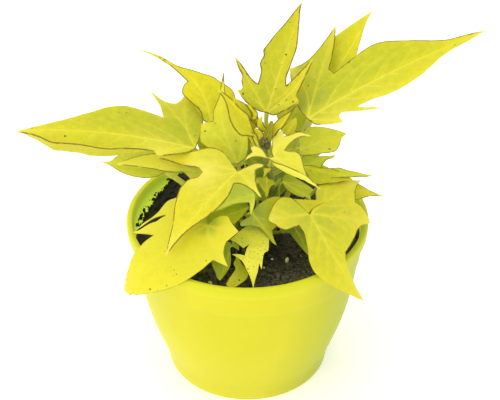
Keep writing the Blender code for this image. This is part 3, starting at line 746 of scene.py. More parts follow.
def wall_crumb_places(count):
    """Crumbs on the inner wall, thick near the compost and thin above, most of them on the left."""
    places = []
    while len(places) < count:
        angle = dice.uniform(0, math.tau)
        left = max(0.0, math.cos(angle - WALL_CRUMBS_SIDE))
        climb = (1.4 + 5.0 * left) * dice.random() ** 1.5
        ragged = 0.5 + 0.5 * noise.noise(Vector((math.cos(angle) * 6, math.sin(angle) * 6, 3)))
        height = SOIL_LEVEL - 0.5 + bank_height(angle) + climb * (0.45 + ragged)
        if height < LIP_TOP - 5:
            clump = noise.noise(Vector((math.cos(angle) * 15, math.sin(angle) * 15, height * 0.35)))
            radius = (0.28 + 1.25 * dice.random() ** 2.5) * (1.15 - 0.05 * climb)
            if climb > 1.2 and clump < 0.02:
                continue
            out = inner_radius(height) - radius * 0.45
            places.append(((out * math.cos(angle), out * math.sin(angle), height), radius))
    return places


fine_lumps = lump_shapes(5, 1, 0.5)
big_lumps = lump_shapes(5, 2, 0.7)
crumbs = [
    scatter("fine_crumbs", fine_lumps, crumb_places(FINE_CRUMBS, 0.3, 0.9), compost),
    scatter("coarse_crumbs", big_lumps, crumb_places(COARSE_CRUMBS, 0.8, 2.4), compost),
    scatter("wall_crumbs", fine_lumps, wall_crumb_places(WALL_CRUMBS), compost)]
print("crumbs:", sum(len(piece.data.polygons) for piece in crumbs), "faces")

# %% [markdown]
# ## Fibres and grit
# Peat is full of short brown fibres, and a grower mixes in a little pale grit.
# A fibre is a thin tube bent in a few places. Each lies on the compost, so its
# points take their height from the surface.

# %% Add fibres and grit
FIBRES = 170
GRIT = [                 # place on the compost and radius of each grain
    ((20.7, -23.5), 1.6), ((13, -22.5), 0.9), ((8.7, -29), 0.7), ((-2.9, -19), 1.1), ((38, -24), 0.6),
    ((-41, 18), 0.8), ((-33, 36), 0.7), ((30, 40), 1.2), ((4, 47), 0.9), ((-19.2, -42.6), 1.1)]


def fibre_line(x, y, length, heading):
    """Points along a crooked strand that lies on the compost, in mm."""
    points = []
    for _ in range(7):
        points.append((x, y, soil_height(x, y) + 0.35))
        heading += dice.gauss(0, 0.35)
        x += length / 6 * math.cos(heading)
        y += length / 6 * math.sin(heading)
    return points


def thin_tube(points, radius, sides):
    """Corners in mm and faces of a thin closed tube along points."""
    corners, faces = [], []
    count = len(points)
    for i, point in enumerate(points):
        ahead = Vector(points[min(i + 1, count - 1)]) - Vector(points[max(i - 1, 0)])
        side = ahead.orthogonal().normalized()
        rise = ahead.normalized().cross(side)
        slim = radius * (0.45 if i in (0, count - 1) else 1)
        for k in range(sides):
            turn_angle = math.tau * k / sides
            spoke = side * math.cos(turn_angle) + rise * math.sin(turn_angle)
            corners.append(tuple(Vector(point) + spoke * slim))
    for i in range(count - 1):
        for k in range(sides):
            a, b = i * sides + k, i * sides + (k + 1) % sides
            faces.append((a, b, b + sides, a + sides))
    faces.append(tuple(range(sides))[::-1])
    faces.append(tuple(range((count - 1) * sides, count * sides)))
    return corners, faces


def lay_fibres(count):
    tubes = []
    for _ in range(count):
        angle, reach = dice.uniform(0, math.tau), 50 * math.sqrt(dice.random())
        line = fibre_line(reach * math.cos(angle), reach * math.sin(angle), dice.uniform(3, 10),
                          dice.uniform(0, math.tau))
        line = [p for p in line if math.hypot(p[0], p[1]) < CRUMB_REACH]
        if len(line) > 3:
            tubes.append(thin_tube(line, dice.uniform(0.12, 0.26), 5))
    return join_shapes("peat_fibres", tubes, fibre_brown, smooth=60)


fibres = lay_fibres(FIBRES)
grit_places = [((x, y, soil_height(x, y) + radius * 0.5), radius) for (x, y), radius in GRIT]
scatter("pale_grit", big_lumps, grit_places, pale_grit)
print("fibres:", len(fibres.data.polygons), "faces, grit:", len(GRIT), "grains")

# %% [markdown]
# ## How a leaf is drawn
# A leaf of this vine is a thin sheet with pointed lobes, held by a stalk at its
# notched base. A cloth or a subdivided plane can't give it sharp lobes, deep bays
# and raised veins at once, so a leaf is drawn flat, like a paper pattern, and
# then bent. "Along" runs from the joint with the stalk to the tip, "aside" is
# the distance from the midrib. The midrib is one cubic curve in space. Across
# it, the sheet leaves at the fold angle, curls by some degrees for each 10 mm,
# and may turn up sharply near a margin. The leaves of the frame come first, each
# drawn to land on the piece that it stands for. A second list holds small ones
# that the frame leaves out, which only fill the bush.

# %% Define a leaf
OUT = "curve"            # the margin runs smoothly through this point
TIP = "tip"              # a lobe's pointed end, or a tooth
BAY = "bay"              # the sharp bottom of a gap between two lobes
LEFT, RIGHT = 0, 1
RIB_SAMPLES = 64
CROSS_SAMPLES = 40       # steps from the midrib out, when a cross section is added up
TURN_ARC = 2.6           # mm of blade that a turned-up margin needs to turn


def lengths_of(ways):
    return np.linalg.norm(ways, axis=-1)


def unit(ways):
    return ways / np.maximum(lengths_of(ways)[..., None], 1e-9)


class Blade:
    """One leaf: where it starts and ends, how it is bent, and its outline, in mm."""

    def __init__(self, joint, tip, face, left, right, rise=6, fall=6, fold=(0, 0), curl=(0, 0), stalk=None,
                 sway=0, turned=(), tatter=None):
        """face is the way that the upper side looks; rise and fall are the midrib's slopes, in degrees."""
        self.joint, self.tip, self.face = (np.array(v, float) for v in (joint, tip, face))
        self.halves = (left, right)
        self.fold = fold       # degrees that the left and right halves are raised
        self.curl = curl       # degrees more for each 10 mm away from the midrib
        self.stalk = stalk     # (stem, height on it, stalk radius)
        self.sway = sway       # how far the midrib bows to the left within the outline
        self.turned = turned   # (half, from along, to along, width, degrees) of a turned-up margin
        self.tatter = tatter   # (from along, depth) of a torn margin
        chord = self.tip - self.joint
        third = np.linalg.norm(chord) / 3
        ahead = unit(chord)
        up = unit(self.face - self.face.dot(ahead) * ahead)
        climb, drop = math.radians(rise), math.radians(fall)
        self.rib = np.array([
            self.joint,
            self.joint + third * (math.cos(climb) * ahead + math.sin(climb) * up),
            self.tip - third * (math.cos(drop) * ahead - math.sin(drop) * up),
            self.tip])
        self.shares = np.linspace(0, 1, RIB_SAMPLES + 1)
        steps = lengths_of(np.diff(self.middle(self.shares), axis=0))
        self.lengths = np.concatenate([[0], np.cumsum(steps)])
        self.length = self.lengths[-1]
        self.folds = [self.fold_line(*turn_up) for turn_up in turned]

    def middle(self, t):
        s, t = (1 - t)[:, None], t[:, None]
        a, b, c, d = self.rib
        return s ** 3 * a + 3 * s * s * t * b + 3 * s * t * t * c + t ** 3 * d

    def slope(self, t):
        s, t = (1 - t)[:, None], t[:, None]
        a, b, c, d = self.rib
        return unit(s * s * (b - a) + 2 * s * t * (c - b) + t * t * (d - c))

    def fold_line(self, half, start, stop, width, degrees):
        """Where a turned-up margin starts to turn: along and aside, before it is widened."""
        line = margin(self, half, 1.0)
        kept = line[(line[:, 0] >= start) & (line[:, 0] <= stop)]
        return half, kept[np.argsort(kept[:, 0])], start, stop, width, math.radians(degrees)

    def bend(self, flat):
        """Places and upward directions of flat points once the blade is bent."""
        along, aside = flat[:, 0], flat[:, 1]
        t = np.interp(along, self.lengths, self.shares)
        ahead = self.slope(t)
        left = unit(np.cross(self.face, ahead))
        up = np.cross(ahead, left)
        beyond = np.minimum(along, 0) + np.maximum(along - self.length, 0)
        middle = self.middle(t) + beyond[:, None] * ahead
        half = np.where(aside >= 0, LEFT, RIGHT)
        side = np.where(aside >= 0, 1.0, -1.0)
        width = np.abs(aside)
        start = np.radians(np.array(self.fold))[half]
        rate = np.radians(np.array(self.curl))[half] / 10

        def angle_at(reach):
            angle = start[:, None] + rate[:, None] * reach
            for fold_half, line, first, last, _, degrees in self.folds:
                edge = np.interp(along, line[:, 0], line[:, 1])
                inside = (half == fold_half) & (along >= first) & (along <= last)
                share = np.clip((reach - edge[:, None] + TURN_ARC / 2) / TURN_ARC, 0, 1)
                angle = angle + np.where(inside[:, None], share * degrees, 0)
            return angle

        samples = (np.arange(CROSS_SAMPLES) + 0.5) / CROSS_SAMPLES
        angles = angle_at(width[:, None] * samples)
        out = np.cos(angles).mean(1) * width
        lift = np.sin(angles).mean(1) * width
        last = angle_at(width[:, None])[:, 0]
        place = middle + (side * out)[:, None] * left + lift[:, None] * up
        upward = np.cos(last)[:, None] * up - (side * np.sin(last))[:, None] * left
        return place, upward


def margin(blade, half, step):
    """The flat outline of one half, from the joint to the tip, as along and distance from the midrib.

    Between two points it is a cubic whose ends point along the margin there. A
    tip or a bay has no such direction, so the margin may turn sharply at it.
    """
    knots = [(0, 0, TIP)] + [(*knot, OUT)[:3] for knot in blade.halves[half]] + [(blade.length, 0, TIP)]
    places = np.array([knot[:2] for knot in knots], float)
    ways = [None] * len(knots)
    for i in range(1, len(knots) - 1):
        if knots[i][2] == OUT:
            before, after = places[i] - places[i - 1], places[i + 1] - places[i]
            ways[i] = unit(unit(before) * np.linalg.norm(after) + unit(after) * np.linalg.norm(before))
    line = [places[:1]]
    for i in range(len(knots) - 1):
        reach = places[i + 1] - places[i]
        size = np.linalg.norm(reach)
        start = None if ways[i] is None else ways[i] * size
        finish = None if ways[i + 1] is None else ways[i + 1] * size
        if start is None and finish is None:
            start = finish = reach
        start = 1.5 * reach - 0.5 * finish if start is None else start
        finish = 1.5 * reach - 0.5 * start if finish is None else finish
        count = max(1, math.ceil(size / step))
        u = (np.arange(1, count + 1) / count)[:, None]
        line.append((2 * u**3 - 3 * u**2 + 1) * places[i] + (u**3 - 2 * u**2 + u) * start
                    + (3 * u**2 - 2 * u**3) * places[i + 1] + (u**3 - u**2) * finish)
    return np.concatenate(line)


print("a leaf is a flat outline, a midrib curve and a cross section")

# %% List the leaves
FACING_FRONT = {"face": (0, -1, 0.45), "rise": 0, "fall": 0}   # for a small leaf with a straight midrib
LEAVES = {
    "far_left": Blade(joint=(-27, 2, 135), tip=(-117, -10, 153), face=(0.05, -0.15, 1), rise=10,
        fall=14, fold=(-22, 4), curl=(-6, 0), stalk=("left_stem", 116.5, 1.2),
        turned=[(LEFT, 24, 91, 7.5, 112)],
        left=[(3, 3), (6, 4.5), (13.5, 7), (20, 8.5, TIP), (22.5, 6.5, BAY), (29, 8.5), (37, 11),
            (44, 13), (48.5, 13.5), (54, 13.5), (60.5, 12.5), (68, 12), (74.5, 11), (80.5, 7.5), (87, 3.5)],
        right=[(-1.5, 4.5), (-4, 13.5), (-5.5, 26), (-4.5, 35), (-0.5, 37.5), (4.5, 38.5, TIP),
            (7, 33.5), (10, 30), (14, 30), (19, 32.5), (23.5, 36, TIP), (20, 29.5), (18, 23.5),
            (17, 17.5, BAY), (21.5, 18.5), (28, 20), (37, 21), (45.5, 19), (58, 12.5), (76, 4.5)]),
    "back_left": Blade(joint=(-19, 22, 137), tip=(-59, 52, 166), face=(0.1, -0.3, 1), rise=10, fall=-14,
        fold=(4, 4), stalk=("left_stem", 110, 1.1), sway=-11,
        left=[(4.5, 2.5), (9, 0), (17.5, 0), (23.5, -0.5), (26.5, -4.5), (27, -8, BAY), (35, -8),
            (45, -7)],
        right=[(0.5, 2), (0, 7.5), (0.5, 15), (2.5, 20.5), (8, 23), (12, 22.5), (16, 21.5), (19.5, 21),
            (23.5, 19), (31.5, 14.5), (37, 11), (48, 7.5)]),
    "inner_left": Blade(joint=(-5, 4, 124), tip=(-12, 18, 174), face=(-0.1, -1, 0.45), rise=5, fall=5,
        fold=(4, 4), stalk=("left_stem", 101, 1.0), sway=5,
        left=[(1, 5), (8, 11.5), (15, 17.5, TIP), (20.5, 17), (24.5, 15.5, TIP), (25.5, 9.5, BAY),
            (31, 8.5), (34.5, 6.5), (39, 4), (43, 3), (47.5, 1.5)],
        right=[(3, 4.5), (9, 7), (14.5, 7.5), (18, 7, TIP), (16, 3.5, BAY), (20, 1), (24.5, -0.5),
            (31, -1), (36.5, -1), (42, -1)]),
    "top": Blade(joint=(10, 8, 153), tip=(29, 44, 199), face=(0, -0.8, 1), rise=8, fold=(6, 6),
        stalk=("main_stem", 118, 1.1),
        left=[(-0.5, 3.5), (1.5, 11), (6.5, 18, TIP), (8, 16), (12, 17.5), (13.5, 17.5), (17, 20.5),
            (22.5, 24.5, TIP), (19.5, 19.5), (16, 15), (14, 12), (13, 9, BAY), (15.5, 9), (20, 9.5),
            (23, 11), (25, 11), (27.5, 10.5), (30, 11.5), (33.5, 10.5), (39.5, 8.5), (46.5, 5.5), (55, 2.5)],
        right=[(-0.5, 3), (3, 8), (6.5, 11.5), (11, 14, TIP), (12.5, 12, BAY), (22, 13.5), (31, 14.5),
            (34, 14.5, TIP), (27, 11), (20, 7.5), (16.5, 5.5, BAY), (19.5, 4.5), (26.5, 4.5), (38, 4.5),
            (42.5, 3.5), (50.5, 1.5), (57, 0)]),
    "far_right": Blade(joint=(31, 5, 151), tip=(123, 34, 187), face=(-0.15, -0.35, 1), rise=10,
        fold=(4, 4), stalk=("main_stem", 121, 0.7),
        left=[(-1, 7), (0.3, 17), (2.6, 25), (5.4, 33, TIP), (13, 31), (23, 34), (38, 43, TIP),
            (30, 29), (23, 20, BAY), (24, 16, BAY), (33, 18), (51, 20), (67, 13), (83, 4), (93, 2)],
        right=[(0.5, 1.5), (2, 6), (5.5, 9), (9, 11.5), (12.5, 13), (15, 14, TIP), (14.5, 11.5),
            (15, 9), (16.5, 8, BAY), (22, 11.5), (28, 15), (33.5, 18.5, TIP), (32.5, 16.5), (28.5, 13.5),
            (25, 10, BAY), (28.5, 10), (33.5, 10.5), (39.5, 12), (59, 11), (79, 4), (94, 2)]),
    "back_right": Blade(joint=(37, 22, 150), tip=(67, 58, 186), face=(0, -0.4, 1), rise=8, fall=0,
        fold=(4, 4), stalk=("main_stem", 125, 1.2),
        left=[(1, 5), (10, 11), (23, 14), (40, 9), (51, 4)],
        right=[(3, 6), (13, 10), (29, 6), (40, 3), (52, 0)]),
    "right_oval": Blade(joint=(26, 14, 125), tip=(53, 21, 132), face=(0.1, -0.5, 1), fall=4,
        fold=(3, 3), stalk=("main_stem", 112, 0.9),
        left=[(2.5, 5), (6.5, 8.5), (10.5, 10.5), (13.5, 10), (17, 8.5), (20.5, 6.5), (24, 4), (26.5, 2)],
        right=[(1, 1), (1.5, 3), (5, 4.5), (9, 6), (12, 6.5), (15.5, 7.5), (19, 8), (22, 6), (23.5, 4),
            (25, 2), (26.5, 1)]),
    "right_middle": Blade(joint=(28, 6, 120), tip=(66, 4, 117), face=(0.1, -0.35, 1), rise=8,
        fold=(3, 3), stalk=("main_stem", 96, 0.9), sway=-3,
        left=[(0.5, 6), (1, 7.5), (4.5, 8), (8.5, 7.5), (11.5, 8), (15, 8.5), (18, 9.5, TIP), (17, 7.5),
            (14.5, 6.5), (12.5, 4), (11, 1, BAY), (13.5, 0.5), (18, 1), (20, 1.5), (25, 0.5), (30, 0),
            (35.5, -0.5)],
        right=[(1.5, 1.5), (5, 5), (11.5, 6.5), (21.5, 5), (26.5, 4), (32, 2.5), (36.5, 1.5)]),
    "right_low": Blade(joint=(40, 6, 110), tip=(73, 4, 103), face=(0.1, -0.35, 1), fold=(3, 3),
        stalk=("main_stem", 87, 0.9),
        left=[(0, 4), (7, 6), (18, 4), (27, 1)],
        right=[(0, 6), (7, 10), (19, 7), (27, 2)]),
    "front_right": Blade(joint=(32, -26, 113), tip=(60, -50, 75), face=(0.3, -0.5, 1), rise=26, fall=28,
        fold=(-4, 2), curl=(-3, -1), stalk=("main_stem", 97, 1.2), sway=-5,
        left=[(-2.5, 4.5), (-5, 9), (-9, 13), (-11.5, 21), (-12, 32), (-6.5, 35.5), (-2.5, 43.5, TIP),
            (2, 34), (8, 28, BAY), (13.5, 29.5), (22, 27, TIP), (21, 18.5), (23.5, 12.5), (27, 2.5, BAY),
            (33, -1), (42.5, -2)],
        right=[(-7, 0.5), (-13.5, 1.5), (-16.5, 5.5), (-16, 9.5), (-10, 20, TIP), (-6, 19.5),
            (-2.5, 19), (0, 17.5), (1, 14), (2, 10, BAY), (6, 10), (10, 12), (15, 15), (19, 18),
            (25, 19.5), (31.5, 17.5), (39.5, 12.5), (46, 7.5)]),
    "crown": Blade(joint=(13, -12, 139), tip=(37, -28, 130), face=(0.1, -0.5, 1), rise=10, fall=10,
        fold=(4, 0), curl=(0, -4), stalk=("main_stem", 127, 0.8), turned=[(RIGHT, 1, 29, 4.4, 118)],
        left=[(-2, 1.5), (-4.5, 5.5), (-7, 9), (-7, 12), (-6.5, 14.5), (-5, 15.5, TIP), (-3.5, 14),
            (-2, 13.5, BAY), (-0.5, 15.5), (1, 18), (3, 20), (5.5, 20.5), (9, 21, TIP), (4.5, 17),
            (3, 12.5), (3, 6.5, BAY), (6, 7.5), (8.5, 9), (11.5, 8.5), (14.5, 6), (19, 2.5), (23, 0.5)],
        right=[(-2, 1.5), (-4.5, 0.5), (-6.5, -0.5), (-9, -1), (-11, -0.5), (-13, 1.5, TIP),
            (-10.5, 3.5, BAY), (-11, 6), (-10.5, 9.5, TIP), (-10, 8), (-8.5, 6), (-5.5, 4), (-2.5, 3),
            (-0.5, 2.5), (4.5, 4.5), (8.5, 4.5), (13.5, 4), (18, 3), (21.5, 2), (25.5, 1.5)]),
    "front_left": Blade(joint=(-5, -16, 133), tip=(-41, -48, 103), face=(-0.2, -0.5, 1), rise=14,
        fall=18, curl=(-3, -3), stalk=("main_stem", 117, 1.2),
        left=[(-5, 2), (-9, 4), (-11, 8, TIP), (-6, 7, BAY), (-1, 12), (4, 20, TIP), (4, 13), (5, 7),
            (7, 4, BAY), (16, 7), (28, 6), (41, 2), (50, 0.5)],
        right=[(-2, 6.5), (-4, 14), (-3, 20.5), (4, 27), (10.5, 33.5), (18.5, 43.5, TIP), (16.5, 33.5),
            (13.5, 23), (11, 16.5), (11.5, 13.5, TIP), (14.5, 13.5), (18.5, 16.5), (23.5, 17.5),
            (28.5, 16), (33.5, 13.5), (42, 7.5), (50, 3.5)]),
    "left_mid": Blade(joint=(-21, 1, 120), tip=(-68, -3, 128.4), face=(0, -0.35, 1), rise=8, fall=8,
        fold=(-4, 4), curl=(-3, 0), stalk=("left_stem", 100, 0.9),
        left=[(3, 5), (9, 5, TIP), (13, 2, BAY), (21, 3), (30, 2), (40, 1)],
        right=[(1, 4), (8, 9), (20, 9), (32, 7), (41, 4)]),
    "left_low": Blade(joint=(-42, 8, 117), tip=(-77, 4, 125.3), face=(0, -0.2, 1), fall=8, fold=(-4, 4),
        curl=(-3, 0), stalk=("left_stem", 99, 1.5),
        left=[(2.5, 2.5), (7, 6), (12.5, 8), (20, 8), (25.5, 6.5), (31.5, 2.5)],
        right=[(5, 9.5), (10.5, 12), (18.5, 10), (24, 7), (28.5, 4), (31, 1)]),
    "over_rim": Blade(joint=(-20, -34, 112), tip=(-64, -44, 77), face=(-0.3, -0.4, 1), rise=14, fall=34,
        fold=(-4, -4), curl=(-4, -6), stalk=("left_stem", 84, 1.2), tatter=(50, 1.2),
        left=[(-5, -1), (-11, 2), (-11, 5), (-12, 12, TIP), (-4, 14, BAY), (-1, 17), (1, 26, TIP),
            (6, 19, BAY), (12, 20), (21, 21), (34, 19), (46, 13), (52, 9)],
        right=[(-1, 8), (2, 20), (5.5, 30.5), (9, 31.5), (13, 32.5), (17.5, 30), (25.5, 27.5),
            (32, 27.5), (35.5, 27, TIP), (30.5, 26), (25.5, 26), (18, 22.5, BAY), (22.5, 22), (28, 23.5),
            (33.5, 24.5), (40, 27.5, TIP), (35, 21.5), (28, 13.5, BAY), (32, 13.5), (37, 13), (42.5, 11.5),
            (50, 6)]),
    "shade_upper": Blade(joint=(4, -14, 117), tip=(-23, -30, 116), face=(-0.1, -0.4, 1), curl=(-3, -3),
        stalk=("left_stem", 93, 0.8),
        left=[(3, 5), (9, 11, TIP), (6, 4, BAY), (13, 2), (23, 2)],
        right=[(0, 4), (5, 10), (14, 11), (24, 6)]),
    "shade_lower": Blade(joint=(1, -16, 110), tip=(-25, -28, 105), face=(-0.1, -0.4, 1), curl=(-3, -3),
        stalk=("left_stem", 97, 0.8),
        left=[(4, 3), (12, 6, TIP), (15, 1, BAY), (25, 1)],
        right=[(0, 3), (7, 6), (17, 7), (27, 4)]),
    "front_middle": Blade(joint=(2, -22, 111), tip=(15, -34, 99), face=(0.1, -0.5, 1), curl=(-3, -3),
        stalk=("main_stem", 88, 0.9),
        left=[(-1.5, 8.5), (-1, 13.5), (1.5, 18), (6, 18.5), (11, 12.5), (13.5, 6.5), (14, 3, BAY),
            (17.5, 1)],
        right=[(1, 2.5), (1, 5), (1, 8, TIP), (2, 9), (4.5, 6.5), (6.5, 4), (9, 2), (12.5, 1.5),
            (16, 1.5), (19, 1)]),
    "curled_small": Blade(joint=(-2, -40, 102), tip=(3, -58, 90), face=(0.1, -0.8, 1), rise=30, fall=30,
        curl=(-8, -8), stalk=("side_shoot", 88, 0.7),
        left=[(-1.5, -1), (-5.5, -3), (-8, -5, TIP), (-9.5, -3), (-12.5, 0.5), (-15.5, 5), (-16, 8.5),
            (-14.5, 12.5), (-11, 14), (-6, 14.5), (-0.5, 13.5), (4.5, 12, TIP), (5.5, 10), (9, 8), (12, 7),
            (14.5, 6, TIP), (11, 5.5, BAY), (15, 4), (18.5, 2)],
        right=[(-1, -2), (-2, -4, BAY), (2, -1), (5.5, 0.5, BAY), (3.5, 4.5), (3, 6.5, TIP),
            (5.5, 4.5), (8.5, 2.5), (13, 1.5), (17, 0.5)]),
    "centre_right": Blade(joint=(18, -4, 118), tip=(33, -14, 113), face=(0.1, -0.5, 1), rise=10,
        fall=10, curl=(-3, -3), stalk=("main_stem", 100, 0.7),
        left=[(-1, 5), (6, 6), (16, 6, TIP), (16, 3, BAY)],
        right=[(3, 2), (9, 3), (15, 1, TIP), (15, 0, BAY)]),
    "behind_top": Blade(joint=(22, 14, 137), tip=(19, 36, 146), face=(0.1, -0.5, 1), fall=4,
        stalk=("main_stem", 129, 0.8),
        left=[(2, 3), (10, 5), (16, 5)],
        right=[(0, 4), (0.5, 8), (3, 10.2), (6.5, 11.2), (12.5, 10), (18.5, 8)]),
    "under_right": Blade(joint=(23, -13, 99), tip=(32, -31, 90), face=(0.1, -0.5, 1), curl=(-3, -3),
        stalk=("main_stem", 83, 0.8),
        left=[(1, 4), (8, 8), (17, 7)],
        right=[(0, 4), (3, 7.5), (4.5, 8), (6.5, 4), (9, 3.5), (13.5, 2.5), (18, 1.5)]),
    "low_back_left": Blade(joint=(-10, 26, 108), tip=(-14, 66, 110), face=(0, -0.2, 1), rise=12,
        fall=16, fold=(4, 4), stalk=("left_stem", 86, 1.0),
        left=[(-2, 5), (3, 10), (10, 12, TIP), (13, 8, BAY), (24, 9), (33, 4)],
        right=[(-2, 5), (3, 10), (9, 12, TIP), (13, 7, BAY), (24, 8), (33, 4)]),
    "low_back_right": Blade(joint=(26, 26, 104), tip=(42, 68, 106), face=(0, -0.2, 1), rise=12, fall=16,
        fold=(4, 4), stalk=("main_stem", 86, 1.0),
        left=[(-2, 5), (3, 11), (9, 14, TIP), (13, 8, BAY), (25, 10), (36, 5)],
        right=[(-2, 5), (3, 10), (10, 13, TIP), (14, 8, BAY), (26, 9), (37, 4)]),
    "young_pink": Blade(joint=(6, 0, 142), tip=(-15, -2, 173), face=(-0.35, -0.6, 1), rise=0, fall=0,
        fold=(45, 30),
        left=[(8.5, 6), (12.5, 9.5), (18, 10), (22.5, 8.5), (25.5, 5.5), (27.5, 3.5), (31.5, 1)],
        right=[(6.5, 1), (9.5, 2), (12.5, 3), (16, 4), (19.5, 3.5), (23, 3), (26, 3), (29.5, 2.5),
            (33.5, 1.5)]),
    "young_back": Blade(joint=(9, 2.5, 143), tip=(-4, 6, 161), face=(0, -0.6, 1), rise=0, fall=0,
        fold=(25, 25),
        left=[(7, 1), (12, 2), (17, 1)],
        right=[(7, 1), (10, 3), (16, 3)]),
    "young_narrow": Blade(joint=(12.2, 0.5, 142), tip=(26, 0, 165), face=(0.2, -0.7, 1), rise=0, fall=0,
        fold=(30, 30),
        left=[(4, 2.5), (7.5, 3.5), (9.5, 3.5), (12.5, 3), (16, 2), (19.5, 0.5), (23.5, 0)],
        right=[(2, 1), (6.5, 1), (9.5, 2), (12, 2), (16, 1.5), (19, 1), (23, 0.5)]),
    "centre_small": Blade(joint=(10, -2.6, 122), tip=(10, -14, 115), face=(0.1, -0.8, 1), rise=10,
        fall=10, curl=(-3, -3),
        left=[(3, 1), (4, 3.5), (6, 4.5, TIP), (7, 2.5), (9, 1.5), (10.5, 1), (12.5, 0.5)],
        right=[(2, 1), (2.5, 4), (3, 5.5, TIP), (5.5, 4.5), (8, 3.5), (10, 2), (11, 1), (13, 0.5)]),
    "dark_green": Blade(joint=(-7.6, -35.5, 100), tip=(-14, -48, 87), face=(-0.1, -0.7, 1), fall=10,
        fold=(4, 4),
        left=[(-2, -1), (-0.5, 3.5), (1.5, 4, TIP), (0.5, 0, BAY), (1.5, -0.5), (4.5, 0.5), (7.5, 2),
            (11, 2.5), (14, 2), (17, 1)],
        right=[(-1, 3), (3.5, 3.5), (8, 5.5), (11, 7.5, TIP), (13.5, 6), (16, 3.5), (18.5, 1.5)]),
    "browned": Blade(joint=(-6, -35.4, 97), tip=(-10, -54, 88), face=(0, -0.8, 1), fall=16,
        curl=(-3, -3),
        left=[(5.5, 3), (7.5, 4.5), (10, 7), (13, 9, TIP), (15.5, 8.5), (18.5, 6), (20.5, 4)],
        right=[(5.5, -1), (8, -0.5), (11, -2), (14.5, -1), (18, 0.5), (20, 1)]),
}
